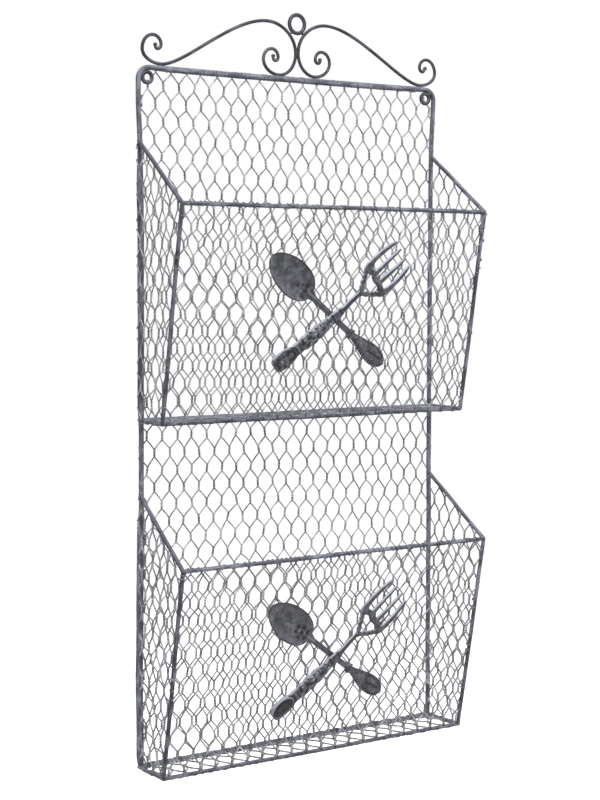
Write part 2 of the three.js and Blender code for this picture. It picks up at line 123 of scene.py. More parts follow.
def piece(name, part, material, nodes=(), tone=None, grain=None):
    """A mesh object from points and face sets, smooth shaded, riding on the rack. Tone is 0
    for a dark hollow and 1 for a pale crest; grain is where a point lies in the streaks."""
    points, faces = part
    corner = np.concatenate([face_set.ravel() for face_set in faces]).astype(np.int32)
    size = np.concatenate([np.full(len(f), f.shape[1]) for f in faces])
    start = np.concatenate([[0], np.cumsum(size)[:-1]]).astype(np.int32)
    mesh = bpy.data.meshes.new(name)
    mesh.vertices.add(len(points))
    mesh.vertices.foreach_set("co", np.asarray(points, np.float32).ravel())
    mesh.loops.add(len(corner))
    mesh.loops.foreach_set("vertex_index", corner)
    mesh.polygons.add(len(size))
    mesh.polygons.foreach_set("loop_start", start)
    mesh.polygons.foreach_set("use_smooth", np.ones(len(size), bool))
    mesh.update(calc_edges=True)
    mesh.validate()
    if tone is not None:
        layer = mesh.attributes.new("tone", "FLOAT", "POINT")
        layer.data.foreach_set("value", np.asarray(tone, np.float32).ravel())
    if grain is not None:
        layer = mesh.attributes.new("grain", "FLOAT_VECTOR", "POINT")
        layer.data.foreach_set("vector", np.asarray(grain, np.float32).ravel())
    mesh.materials.append(material)
    thing = bpy.data.objects.new(name, mesh)
    bpy.context.scene.collection.objects.link(thing)
    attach(thing, "root")
    if nodes:
        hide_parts(*nodes)
    return thing

# %% [markdown]
# Steel rod and wire are tubes carried along a path, and bends, thick places and reliefs come
# and go smoothly along them. Four curves do for all of that: a step, a stretch between two
# steps, a hill and a profile of several steps.

# %% Smooth curves and tubes
ALMOST_ZERO = 1e-12


def unit(vectors):
    """Vectors scaled to length one along their last axis."""
    return vectors / np.maximum(np.linalg.norm(vectors, axis=-1, keepdims=True), ALMOST_ZERO)


def ease(a, b, u):
    """Smoothly from 0 at a to 1 at b: 3t^2 - 2t^3."""
    t = np.clip((u - a) / (b - a), 0, 1)
    return t * t * (3 - 2 * t)


def between(a, b, c, d, u):
    """0 up to a, 1 from b to c and 0 again from d, with a smooth step up and one down."""
    return ease(a, b, u) * (1 - ease(c, d, u))


def hill(value, centre, width, power=2):
    """A smooth hill of height 1, exp(-(d / width)^power) at the distance d from its centre. A
    higher even power gives it a flatter top and steeper sides."""
    return np.exp(-(((value - centre) / width) ** power))


def profile(pairs, u):
    """A value given at places as (place, value) pairs, eased from each pair to the next."""
    value = pairs[0][1]
    for (a, first), (b, second) in zip(pairs, pairs[1:]):
        value = value + (second - first) * ease(a, b, u)
    return value


def sweep(path, radius, reference, sides=12, closed=False, lift=1.0):
    """A tube round a path. Ring i is path[i] + r (cos t * side + lift sin t * up), where side
    is at right angles to the path and to the reference direction, and up is at right angles
    to both. Ends are closed by one flat face each."""
    path = np.asarray(path, float)
    radius = np.broadcast_to(np.asarray(radius, float), len(path))
    if closed:
        along = np.roll(path, -1, axis=0) - np.roll(path, 1, axis=0)
    else:
        along = np.gradient(path, axis=0)
    along = unit(along)
    side = unit(np.cross(reference, along))
    up = np.cross(along, side)
    turn = np.arange(sides) / sides * 2 * np.pi
    ring = np.cos(turn)[None, :, None] * side[:, None, :]
    ring = ring + lift * np.sin(turn)[None, :, None] * up[:, None, :]
    points = (path[:, None, :] + radius[:, None, None] * ring).reshape(-1, 3)
    count = len(path)
    here = np.arange(count if closed else count - 1)[:, None] * sides
    next_ring = (here + sides) % (count * sides)
    k = np.arange(sides)[None, :]
    k1 = (k + 1) % sides
    quads = np.stack([here + k, here + k1, next_ring + k1, next_ring + k], axis=-1).reshape(-1, 4)
    faces = [quads]
    if not closed:
        faces.append(np.stack([np.arange(sides)[::-1], (count - 1) * sides + np.arange(sides)]))
    return points, faces

# %% [markdown]
# The lacquer of a rod has streaks along it. So each point of a rod carries its place in the
# streaks, called grain, and each rod has a shade of its own, called tone like the relief of
# the castings. Under the lacquer a rod isn't quite even either.

# %% Rods with streaks
STREAK = 4.5
ROD_SIDES = 16
PLAIN_SHADE = 0.5
RIPPLES = ((23, 1.0), (57, 2.1), (131, 3.7))


def grain_of(path, radius, start):
    """Where each point of a rod's tube lies in its lacquer's streaks: the distance along the
    rod divided by STREAK, so that streaks come out that much longer than wide, and the place
    across the rod as (r cos t, r sin t). The start moves the streaks on from rod to rod."""
    step = np.linalg.norm(np.diff(path, axis=0, prepend=path[:1]), axis=1)
    turn = np.arange(ROD_SIDES) / ROD_SIDES * 2 * np.pi
    grain = np.empty((len(path), ROD_SIDES, 3))
    grain[..., 0] = (start + np.cumsum(step) / STREAK)[:, None]
    grain[..., 1] = radius * np.cos(turn)[None]
    grain[..., 2] = radius * np.sin(turn)[None]
    return grain.reshape(-1, 3)


def rod_piece(
    name, path, radius, reference, material, node, start, closed=False, shade=PLAIN_SHADE
):
    """A round rod along a path, with its streaks. Its shade is below PLAIN_SHADE if it is
    darker than the others, and above if it is paler."""
    part = sweep(path, radius, reference, ROD_SIDES, closed)
    grain = grain_of(path, float(np.mean(radius)), start)
    tone = np.full(len(part[0]), shade)
    return piece(name, part, material, [node], tone=tone, grain=grain)


def ripple(count, phase, amount):
    """A slow unevenness along a bar: one plus the mean of three sines with unrelated lengths,
    given as (waves along the bar in radians, share of the phase)."""
    s = np.linspace(0, 1, count)
    waves = sum(np.sin(rate * s + share * phase) for rate, share in RIPPLES)
    return 1 + amount * waves / len(RIPPLES)


# %% [markdown]
# Camera. The photo was matched corner by corner: the camera stands 1.46 m from the rack,
# 34 degrees to its left and 4 degrees above, with a long lens.

# %% Camera
CAMERA_AZIMUTH = math.radians(-34.149)
CAMERA_ELEVATION = math.radians(4.187)
CAMERA_ROLL = math.radians(0.165)
CAMERA_DISTANCE = 1.46049
CAMERA_TARGET = np.array([0.00723, HOOP_Y, 0.29656])
FOCAL_PIXELS = 1692.17
PHOTO_HEIGHT = 800
SENSOR = 36.0


def stand(thing, rightward, upward, backward, place):
    """Puts a camera or a lamp into the scene at a place, with its own three axes along the
    directions given."""
    rows = [[rightward[i], upward[i], backward[i], place[i]] for i in range(3)]
    thing.matrix_world = Matrix(rows + [[0, 0, 0, 1]])
    bpy.context.scene.collection.objects.link(thing)


backwards = np.array(
    [
        math.sin(CAMERA_AZIMUTH) * math.cos(CAMERA_ELEVATION),
        -math.cos(CAMERA_AZIMUTH) * math.cos(CAMERA_ELEVATION),
        math.sin(CAMERA_ELEVATION),
    ]
)
level = unit(np.cross(-backwards, UP))
upright = np.cross(level, -backwards)
rightwards = level * math.cos(CAMERA_ROLL) + upright * math.sin(CAMERA_ROLL)
above = upright * math.cos(CAMERA_ROLL) - level * math.sin(CAMERA_ROLL)
eye = CAMERA_TARGET + backwards * CAMERA_DISTANCE
camera_data = bpy.data.cameras.new("camera")
camera_data.lens = FOCAL_PIXELS / PHOTO_HEIGHT * SENSOR
camera_data.sensor_width = SENSOR
camera = bpy.data.objects.new("camera", camera_data)
stand(camera, rightwards, above, backwards, eye)
bpy.context.scene.camera = camera
print("lens", camera_data.lens, "camera at", eye)

# %% [markdown]
# Finishes. A finish in Blender is a tree of nodes, and each node takes several lines to add,
# set and link. A small class with one method for each kind of node keeps the finishes below
# short enough to read.

# %% Material helpers


class Nodes:
    """A small wrapper that adds shader nodes and links them by socket name."""

    def __init__(self, name):
        self.material = bpy.data.materials.new(name)
        self.material.use_nodes = True
        self.tree = self.material.node_tree
        self.shader = self.tree.nodes["Principled BSDF"]
        self.place = self.add("ShaderNodeTexCoord").outputs["Object"]

    def add(self, kind, **values):
        """A new node with some of its settings changed."""
        node = self.tree.nodes.new(kind)
        for key, value in values.items():
            setattr(node, key, value)
        return node

    def link(self, source, target):
        """A link from an output socket to an input socket."""
        self.tree.links.new(source, target)

    def attribute(self, name, output):
        """One of the values that a mesh carries at its points."""
        return self.add("ShaderNodeAttribute", attribute_name=name).outputs[output]

    def noise(self, scale, detail=3.0, roughness=0.55, distortion=0.0):
        """Cloudy values round 0.5, read at the finish's place."""
        node = self.add("ShaderNodeTexNoise")
        for name, value in (
            ("Scale", scale), ("Detail", detail), ("Roughness", roughness),
            ("Distortion", distortion),
        ):
            node.inputs[name].default_value = value
        self.link(self.place, node.inputs["Vector"])
        return node.outputs["Fac"]

    def ramp(self, source, stops):
        """Colours picked by a value, with stops given as (value, colour)."""
        node = self.add("ShaderNodeValToRGB")
        elements = node.color_ramp.elements
        while len(elements) < len(stops):
            elements.new(0.5)
        for element, (position, colour) in zip(elements, stops):
            element.position = position
            element.color = (*colour, 1.0)
        self.link(source, node.inputs["Fac"])
        return node.outputs["Color"]

    def span(self, source, low, high, to_low, to_high):
        """A value moved from the span low to high into the span to_low to to_high."""
        node = self.add("ShaderNodeMapRange")
        for name, value in (
            ("From Min", low), ("From Max", high), ("To Min", to_low), ("To Max", to_high),
        ):
            node.inputs[name].default_value = value
        self.link(source, node.inputs["Value"])
        return node.outputs["Result"]

    def mix(self, factor, a, b):
        """Colour a at factor 0 and colour b at factor 1. Each may be a socket or a value."""
        node = self.add("ShaderNodeMix", data_type="RGBA")
        for socket, value in ((node.inputs[0], factor), (node.inputs[6], a), (node.inputs[7], b)):
            if isinstance(value, bpy.types.NodeSocket):
                self.link(value, socket)
            elif isinstance(value, tuple):
                socket.default_value = (*value, 1.0)
            else:
                socket.default_value = value
        return node.outputs[2]

    def bump(self, source, strength, distance):
        """Small unevenness of the surface, only seen in how it catches the light."""
        node = self.add("ShaderNodeBump")
        node.inputs["Strength"].default_value = strength
        node.inputs["Distance"].default_value = distance
        self.link(source, node.inputs["Height"])
        self.link(node.outputs["Normal"], self.shader.inputs["Normal"])

    def set(self, **values):
        """Plain values for the shader's own sockets, with _ in place of a space."""
        for name, value in values.items():
            self.shader.inputs[name.replace("_", " ")].default_value = value


# %% [markdown]
# Lacquered steel. All of the steel has one dark lacquer with paler, bluish rubbed patches, so
# one function can make the finish of rods, scrolls and wires, with other colours and scales.
# On the rods the patches are streaks drawn out along the rod, which need a coordinate that
# follows it. Rods are given painted light where they face up and painted shade where they
# face down.

# %% Lacquered steel
PATCH_EDGES = (0.40, 0.49, 0.60)
SPECKLE_EDGES = (0.38, 0.62)
SPECKLE_SHARE = 0.3
FINER = 5
ROUGHNESS_EDGES = (0.35, 0.7)
DARK_ROUGHER = 0.12
PALE_SMOOTHER = 0.06
PALE_SHADE = 0.75
DARK_SHADE = 0.85
# Painted light on the sides of the rods that face up, and painted shade on those facing down.
PAINTED_LIGHT_ABOVE = 0.55
FACES_UP = (0.2, 0.95)
PAINTED_SHADE_BELOW = 0.5
FACES_DOWN = (-0.9, -0.1)
# Dark colour of the wires: painted shade where a sheet bends round its bottom rail, and a random
# darkening of the coils.
DARK_WIRE_AND_PAINTED_SHADE = (0.035, 0.036, 0.042)
DARK_WIRE_AND_PAINTED_SHADE_SHARE = 0.9


def painted_light_on_rod(m, colour, dark, pale):
    """A rod's colour made paler or darker by its shade, then lightened by painted light where the
    surface faces up and darkened by painted shade where it faces down."""
    normal = m.add("ShaderNodeSeparateXYZ")
    m.link(m.add("ShaderNodeNewGeometry").outputs["Normal"], normal.inputs[0])
    upward = normal.outputs["Z"]
    shade = m.attribute("tone", "Fac")
    colour = m.mix(m.span(shade, PLAIN_SHADE, 1.0, 0.0, PALE_SHADE), colour, pale)
    # Painted light where the rod faces up, painted shade where it faces down.
    colour = m.mix(m.span(upward, *FACES_UP, 0.0, PAINTED_LIGHT_ABOVE), colour, pale)
    colour = m.mix(m.span(upward, *FACES_DOWN, PAINTED_SHADE_BELOW, 0.0), colour, dark)
    return m.mix(m.span(shade, 0.0, PLAIN_SHADE, DARK_SHADE, 0.0), colour, dark)


def lacquered_steel(name, dark, middle_tone, pale, patch, rough, streaked):
    """Lacquer over steel: broad patches pick dark, middle or pale, a finer noise breaks their
    edges up, and the pale, rubbed places are smoother than the rest. Rods have streaks, a shade,
    and painted light above and painted shade below. Wires have a tone that darkens them, as
    painted shade where a sheet bends round its bottom rail and by a random amount in the coils."""
    m = Nodes(name)
    if streaked:
        m.place = m.attribute("grain", "Vector")
    broad = m.noise(patch, roughness=0.6, distortion=0.3)
    fine = m.noise(patch * FINER, roughness=0.6)
    patches = m.ramp(broad, list(zip(PATCH_EDGES, (dark, middle_tone, pale))))
    speckle = m.ramp(fine, list(zip(SPECKLE_EDGES, (dark, pale))))
    colour = m.mix(SPECKLE_SHARE, patches, speckle)
    if streaked:
        colour = painted_light_on_rod(m, colour, dark, pale)
    else:
        # Wires darkened by their tone: painted shade at the bend, a random darkening in the
        # coils.
        wire_darkening_and_shade = m.span(m.attribute("tone", "Fac"), 0.0, 1.0, DARK_WIRE_AND_PAINTED_SHADE_SHARE, 0.0)
        colour = m.mix(wire_darkening_and_shade, colour, DARK_WIRE_AND_PAINTED_SHADE)
    m.link(colour, m.shader.inputs["Base Color"])
    roughness = m.span(broad, *ROUGHNESS_EDGES, rough + DARK_ROUGHER, rough - PALE_SMOOTHER)
    m.link(roughness, m.shader.inputs["Roughness"])
    m.set(Metallic=0.1, Specular_IOR_Level=0.2)
    m.bump(fine, strength=0.35, distance=0.15 * MM)
    return m.material


rod_finish = lacquered_steel(
    "frame_rod_finish", dark=(0.024, 0.025, 0.031), middle_tone=(0.070, 0.074, 0.091),
    pale=(0.26, 0.272, 0.335), patch=300, rough=0.46, streaked=True,
)
scroll_finish = lacquered_steel(
    "scroll_rod_finish", dark=(0.020, 0.021, 0.025), middle_tone=(0.042, 0.044, 0.053),
    pale=(0.12, 0.123, 0.148), patch=330, rough=0.44, streaked=True,
)
wire_finish = lacquered_steel(
    "net_wire_finish", dark=(0.118, 0.120, 0.129), middle_tone=(0.260, 0.265, 0.280),
    pale=(0.52, 0.525, 0.547), patch=110, rough=0.48, streaked=False,
)
print("steel finishes", rod_finish.name, scroll_finish.name, wire_finish.name)

# %% [markdown]
# Cast metal. Spoons and forks have a mottled, dark gunmetal patina. Its crests are rubbed
# pale and grime stays in its hollows, so the finish reads the height of the relief, which
# each point of a casting carries as its tone. The same pale and dark colours also show the
# painted light and painted shade that the tone carries on the forks' edges and spoons' bowls.

# %% Cast metal
PATINA = [
    (0.36, (0.031, 0.032, 0.038)), (0.5, (0.064, 0.066, 0.076)), (0.64, (0.122, 0.126, 0.144)),
]
# Worn crests and painted light share the pale colour; grime in hollows and painted shade share
# the dark one.
WORN_AND_PAINTED_LIGHT = (0.42, 0.435, 0.51)
WORN_AND_PAINTED_LIGHT_SHARE = 0.85
GRIME_AND_PAINTED_SHADE = (0.010, 0.010, 0.012)
GRIME_AND_PAINTED_SHADE_SHARE = 0.95
CRESTS = (0.45, 1.0)
HOLLOWS = (0.0, 0.33)
MOTTLE_EDGES = (0.3, 0.7)
CAST_ROUGHNESS = (0.55, 0.38)


def cast_metal(name):
    """Patches of patina, mixed with the pale colour on crests and with the dark one in hollows;
    these colours also show painted light and painted shade.
    """
    m = Nodes(name)
    relief = m.attribute("tone", "Fac")
    mottle = m.noise(140, detail=5.0, roughness=0.65, distortion=0.6)
    grit = m.noise(1100, roughness=0.6)
    colour = m.ramp(mottle, PATINA)
    colour = m.mix(m.span(relief, *CRESTS, 0.0, WORN_AND_PAINTED_LIGHT_SHARE), colour, WORN_AND_PAINTED_LIGHT)
    colour = m.mix(m.span(relief, *HOLLOWS, GRIME_AND_PAINTED_SHADE_SHARE, 0.0), colour, GRIME_AND_PAINTED_SHADE)
    m.link(colour, m.shader.inputs["Base Color"])
    m.link(m.span(mottle, *MOTTLE_EDGES, *CAST_ROUGHNESS), m.shader.inputs["Roughness"])
    m.set(Metallic=0.2, Specular_IOR_Level=0.3)
    m.bump(grit, strength=0.45, distance=0.12 * MM)
    return m.material


cast_finish = cast_metal("cast_ornament_finish")
print("cast finish", cast_finish.name)

# %% [markdown]
# Straight rods. On the real rack each is cut from round wire, a little uneven under its
# lacquer. A plain cylinder would look machined, so each rod is a swept tube whose radius
# wanders by a few percent and whose line is not quite straight. Rods end where the frame
# says, to about two millimetres: the hoop's right leg bows a little on the real rack, what is
# fixed to it follows, and the right front posts lean.

# %% Ends of the straight rods
# The right leg's bow as (height, shift across), and the right front posts' shifts across at
# their foot and top, in millimetres.
RIGHT_LEG_BOW = [(0, 0.3), (286, -0.8), (400, -1.2), (510, -1.0), (562, 1.0)]
RIGHT_LEAN = {"upper": (-0.3, -1.2), "lower": (0.9, 1.8)}
PAST_THE_SIDE = 0.4 * ROD_R
LEG_FRONT = HOOP_Y - 1.1 * HOOP_R
SLOPE_UPWARD = 2.5 * MM
SLOPE_INWARD = 1.0 * MM
RIGHT_SLOPE_DOWN = 0.6 * MM
UPPER_FOOT_INWARD = 2.0 * MM


def bowed(points):
    """World points moved across by the right leg's bow at their height, times the cube of
    their share of the way from the middle to that leg."""
    share = np.clip(points[..., 0] / LEG_X, 0, 1) ** 3
    moved = np.array(points, float)
    moved[..., 0] += MM * profile(RIGHT_LEG_BOW, points[..., 2] / MM) * share
    return moved


def leans(prefix, sign):
    """How far a front post of a pocket stands to the right of its place at foot and top."""
    return [(sign > 0) * lean * MM for lean in RIGHT_LEAN[prefix]]


def pocket_frame(prefix):
    """Ends of every rod of one pocket, read from the frame. The left sloping rod ends on the
    front of its leg, and the right one goes on beside its leg to the middle of it."""
    foot, top = front_rails(prefix)
    base = foot[2]
    fall = (base + SIDE_HEIGHT - top[2]) / (HOOP_Y - top[1])
    slope_top = base + SIDE_HEIGHT + SLOPE_UPWARD - fall * (HOOP_Y - LEG_FRONT)
    end = SIDE_X + PAST_THE_SIDE
    low_lean, top_lean = leans(prefix, 1)
    ends = {
        prefix + "_front_top_rail": ([-end, top[1], top[2]], [end + top_lean, top[1], top[2]]),
        prefix + "_front_bottom_rail": ([-end, foot[1], base], [end + low_lean, foot[1], base]),
    }
    for sign, word in ((-1, "left"), (1, "right")):
        x = sign * SIDE_X
        low_lean, top_lean = leans(prefix, sign)
        wall_end = bowed(np.array([x, HOOP_Y, base]))
        leg_end = bowed(np.array([x, LEG_FRONT, slope_top])) - [sign * SLOPE_INWARD, 0, 0]
        if word == "right":
            leg_end += [0, HOOP_Y - LEG_FRONT, -RIGHT_SLOPE_DOWN]
        elif prefix == "upper":
            wall_end += [UPPER_FOOT_INWARD, 0, 0]
        low_corner = [x + low_lean, foot[1], base]
        top_corner = [x + top_lean, top[1], top[2]]
        ends[f"{prefix}_{word}_front_post"] = (low_corner, top_corner)
        ends[f"{prefix}_{word}_bottom_rod"] = (wall_end, low_corner)
        ends[f"{prefix}_{word}_slope_rod"] = (leg_end, top_corner)
    return ends


rods = {**pocket_frame("lower"), **pocket_frame("upper")}
for name in ("upper_back_rail", "lower_back_rail"):
    rods[name] = tuple(bowed(middle(name) + [sign * LEG_X, 0, 0]) for sign in (-1, 1))
print("straight rods", len(rods))

# %% [markdown]
# A rod is drawn as a chain of rings. The line through them strays by two small sines that
# fade out at its ends, and a narrower ring at each end rounds the edge off. The back rails
# look thicker than the other rods, because wire is wound on all of their length.

# %% Straight rods
RING_STEP = 3 * MM
FEWEST_RINGS = 12
STRAY = 0.25 * MM
SIDEWAYS_RATE = 5.3
OUTWARD_RATE = 7.9
OUTWARD_PHASE = 2.3
SLANTWISE = (0.3, 0.2, 0.93)
ROD_RIPPLE = 0.035
CAP_LENGTH = 0.12
CAP_WIDTH = 0.8
PHASE_STEP = 1.7
THICKER = {"lower_back_rail": HOOP_R, "upper_back_rail": 1.2 * ROD_R}
SHADES = {
    "left_front_post": 0.25, "left_slope_rod": 0.32, "back_rail": 0.95, "front_bottom_rail": 0.35,
}


def straight(a, b, radius, phase):
    """Path and radii of a bar from a to b, and a direction at right angles to it. Its line
    strays in two directions by a sine each, times the sine of pi s, where s is the share of
    the way from a to b. Its ends stay on a and b and are rounded off."""
    a = np.asarray(a, float)
    b = np.asarray(b, float)
    length = np.linalg.norm(b - a)
    count = max(FEWEST_RINGS, int(length / RING_STEP))
    s = np.linspace(0, 1, count)[:, None]
    ahead = (b - a) / length
    sideways = unit(np.cross(ahead, SLANTWISE))
    outward = np.cross(ahead, sideways)
    stray = np.sin(np.pi * s) * (
        sideways * np.sin(SIDEWAYS_RATE * s + phase)
        + outward * np.sin(OUTWARD_RATE * s + OUTWARD_PHASE * phase)
    )
    path = a + (b - a) * s + STRAY * stray
    cap = CAP_LENGTH * radius * ahead
    path = np.concatenate([path[:1], path[:1] + cap, path[1:-1], path[-1:] - cap, path[-1:]])
    narrow = [CAP_WIDTH * radius]
    width = np.concatenate([narrow, radius * ripple(count, phase, ROD_RIPPLE), narrow])
    return path, width, sideways


for number, (name, (a, b)) in enumerate(rods.items()):
    shade = next((SHADES[ending] for ending in SHADES if name.endswith(ending)), PLAIN_SHADE)
    path, width, sideways = straight(a, b, THICKER.get(name, ROD_R), PHASE_STEP * number)
    rod_piece(
        name + "_round", path, width, sideways, rod_finish, name, number, shade=shade
    )
    print(name, "rings", len(path), "shade", shade)

# %% [markdown]
# The hoop is one rod bent in one plane. Its path is worked out in that plane first, from
# lines and arcs, and stood up afterwards.

# %% Line of the hoop
HOOP_FOOT = -0.6 * HOOP_R
LEG_POINTS = 190
RAIL_POINTS = 240
BEND_POINTS = 14


def upright_path(flat, y=HOOP_Y):
    """Points (x, z) stood up in the plane at depth y."""
    flat = np.asarray(flat, float)
    return np.stack([flat[:, 0], np.full(len(flat), y), flat[:, 1]], axis=1)


def arc(centre, radius, start, stop, steps):
    """Points on a circle from one angle to another."""
    turn = np.linspace(start, stop, steps)[:, None]
    return np.asarray(centre) + radius * np.concatenate([np.cos(turn), np.sin(turn)], axis=1)


def line(a, b, steps):
    """Evenly spaced points from a up to, but not including, b."""
    s = np.linspace(0, 1, steps, endpoint=False)[:, None]
    return np.asarray(a) + (np.asarray(b) - np.asarray(a)) * s


corner_z = RAIL_Z - HOOP_CORNER
corner_x = LEG_X - HOOP_CORNER
hoop_line = np.concatenate(
    [
        line([-LEG_X, HOOP_FOOT], [-LEG_X, corner_z], LEG_POINTS),
        arc([-corner_x, corner_z], HOOP_CORNER, math.pi, math.pi / 2, BEND_POINTS)[:-1],
        line([-corner_x, RAIL_Z], [corner_x, RAIL_Z], RAIL_POINTS),
        arc([corner_x, corner_z], HOOP_CORNER, math.pi / 2, 0, BEND_POINTS)[:-1],
        line([LEG_X, corner_z], [LEG_X, HOOP_FOOT], LEG_POINTS),
        [[LEG_X, HOOP_FOOT]],
    ]
)
print("hoop of", len(hoop_line), "rings")

# %% [markdown]
# The real hoop is nowhere quite straight: its rail sags, its legs waver, and the left one
# bows inwards. Wire is wound so closely on the rail, and on the left leg beside the pockets,
# that they look like a thicker, lumpy rod. So the tube's radius grows there.

# %% Hoop
RAIL_SAG = 0.8 * MM
LEG_WAVER = 0.35 * MM
LONG_WAVE = 41 * MM
SHORT_WAVE = 19 * MM
WAVER_FADES = 40 * MM
LEG_BOW = 1.45 * MM
BOW_HEIGHTS = (60, 240, 500, 550)
WOUND_RAIL = 0.22
RAIL_TURNS = 0.07
RAIL_TURN = 0.55 * MM
WOUND_SHARE = (-0.02, 0.05, 0.85, 0.98)
LEG_LUMPS = 0.12
LUMP_RATE = 61
SLOW_LUMP_RATE = 37
# How much thicker the left leg is beside each pocket, and how far outwards it lies there.
WOUND_LEG = {"upper": (0.3, 0.0), "lower": (0.45, 0.9 * MM)}
HOOP_SHADE = 0.6
HOOP_PHASE = 0.4
HOOP_RIPPLE = 0.04


def uneven_hoop(flat):
    """The hoop's line with its sag, waver and bow, and the thickness of the rod at each point
    as a share of its plain one. The corners have part of the rail's sag and thickness, which
    grow with the eighth power of the height above their lower end."""
    x, z = np.array(flat, float).T
    on_rail = np.clip((z - corner_z) / HOOP_CORNER, 0, 1) ** 8
    z -= RAIL_SAG * on_rail * np.clip(1 - (x / corner_x) ** 4, 0, 1)
    waver = LEG_WAVER * np.sin(z / LONG_WAVE) * np.sin(z / SHORT_WAVE + 1)
    x += waver * np.clip((corner_z - z) / WAVER_FADES, 0, 1)
    on_left_leg = x < -0.9 * LEG_X
    x += LEG_BOW * on_left_leg * between(*BOW_HEIGHTS, z / MM)
    wound = on_rail * np.clip(1 - (x / corner_x) ** 8, 0, 1)
    thickness = 1 + wound * (WOUND_RAIL + RAIL_TURNS * np.sin(x / RAIL_TURN))
    for prefix, (thicker, outward) in WOUND_LEG.items():
        height = (z - middle(prefix + "_front_bottom_rail")[2]) / SIDE_HEIGHT
        here = on_left_leg * between(*WOUND_SHARE, height)
        lumps = 1 + LEG_LUMPS * np.sin(height * LUMP_RATE) * np.sin(height * SLOW_LUMP_RATE + 1)
        thickness += thicker * here * lumps
        x -= outward * here
    return np.stack([x, z], axis=1), thickness


hoop_flat, thickness = uneven_hoop(hoop_line)
hoop_width = HOOP_R * thickness * ripple(len(hoop_flat), HOOP_PHASE, HOOP_RIPPLE)
rod_piece(
    "back_frame_round", bowed(upright_path(hoop_flat)), hoop_width, WALLWARD, rod_finish,
    "back_frame", 50, shade=HOOP_SHADE,
)
print("hoop radius from", hoop_width.min(), "to", hoop_width.max())

# %% [markdown]
# Scrolls. Each is one rod with a curl at either end, and a long rise between them. A curl
# drawn freely would need many points, so each is a chain of quarter ellipses that meet at its
# highest, lowest and outermost points, which keeps it smooth with few numbers.

# %% Curves of a scroll


def quarter(a, b, starts_across, steps=14):
    """A quarter of an ellipse from a to b, which leaves a across or up and arrives the other
    way: one coordinate follows the sine of the turn and the other one minus its cosine."""
    turn = np.linspace(0, np.pi / 2, steps + 1)[1:]
    early = np.sin(turn)
    late = 1 - np.cos(turn)
    first, second = (early, late) if starts_across else (late, early)
    a = np.asarray(a, float)
    b = np.asarray(b, float)
    return np.stack([a[0] + (b[0] - a[0]) * first, a[1] + (b[1] - a[1]) * second], axis=1)


def curl(extremes, starts_across):
    """Quarter ellipses through the extreme points of a curl, turn about."""
    points = [np.array([extremes[0]], float)]
    for i in range(1, len(extremes)):
        points.append(quarter(extremes[i - 1], extremes[i], (i % 2 == 1) == starts_across))
    return np.concatenate(points)


def bezier(a, b, c, d, steps):
    """A cubic curve from a to d that leaves towards b and arrives from c, without its ends."""
    t = np.linspace(0, 1, steps + 1)[1:-1, None]
    a, b, c, d = (np.asarray(p, float) for p in (a, b, c, d))
    return (1 - t) ** 3 * a + 3 * t * (1 - t) ** 2 * b + 3 * t**2 * (1 - t) * c + t**3 * d


# %% Scrolls
scroll_low, scroll_high = box("left_scroll")
SCROLL_R = (scroll_high[1] - scroll_low[1]) / 2 / FLAT
SCROLL_MIDDLE = middle("centre_ring")[0]
FOOT_UP = (scroll_low[2] - RAIL_Z) / MM + SCROLL_R * FLAT / MM
CREST_UP = 47.5
# The left scroll's curls as points (across, up) in millimetres, counted from the middle ring
# and from the rail's centreline. The right scroll is their mirror image.
OUTER_CURL = [
    (-137.4, 18.6), (-135.3, 15.6), (-132, 19.3), (-139.5, 26.4), (-149.3, 14.8),
    (-132.2, FOOT_UP),
]
INNER_CURL = [
    (-30, CREST_UP), (-SCROLL_R * FLAT / MM, 22.5), (-18.4, FOOT_UP), (-33.8, 15.8),
    (-25.3, 24.9), (-19, 18.2), (-21.9, 15.2), (-24, 17.8),
]
LEAVES_BY = 21
ARRIVES_BY = 34
RISE_POINTS = 40
RISE = bezier(
    OUTER_CURL[-1], (OUTER_CURL[-1][0] + LEAVES_BY, FOOT_UP),
    (INNER_CURL[0][0] - ARRIVES_BY, CREST_UP), INNER_CURL[0], RISE_POINTS,
)
INNER_DROP = {"left": 1.2 * MM, "right": 0.4 * MM}
SCROLL_RIPPLE = 0.03

scroll_flat = np.concatenate([curl(OUTER_CURL, False), RISE, curl(INNER_CURL, True)]) * MM
for sign, side in ((-1, "right"), (1, "left")):
    path = upright_path(scroll_flat * [sign, 1] + [SCROLL_MIDDLE, RAIL_Z])
    path[:, 2] -= INNER_DROP[side] * (1 - np.abs(path[:, 0]) / np.abs(path[:, 0]).max())
    width = SCROLL_R * ripple(len(path), 1.0 + sign, SCROLL_RIPPLE)
    rod_piece(
        side + "_scroll_round", path, width, WALLWARD, scroll_finish, side + "_scroll",
        60 + sign,
    )
print("scroll path of", len(scroll_flat), "points")

# %% [markdown]
# Rings. Two small ones in the hoop's corners hang the rack, and a larger one sits on the
# scrolls' crests. Each is a circle with its size from the frame, drawn a little thicker, as
# the real ones look under their lacquer.

# %% Rings
RING_THICKER = 1.2
RING_LINE = 0.96
RING_POINTS = 60
HANGER_SHIFT = (-0.6 * MM, 0, 0.7 * MM)
HANGER_SMALLER = 0.2 * MM
CENTRE_RING_SHADE = 0.3

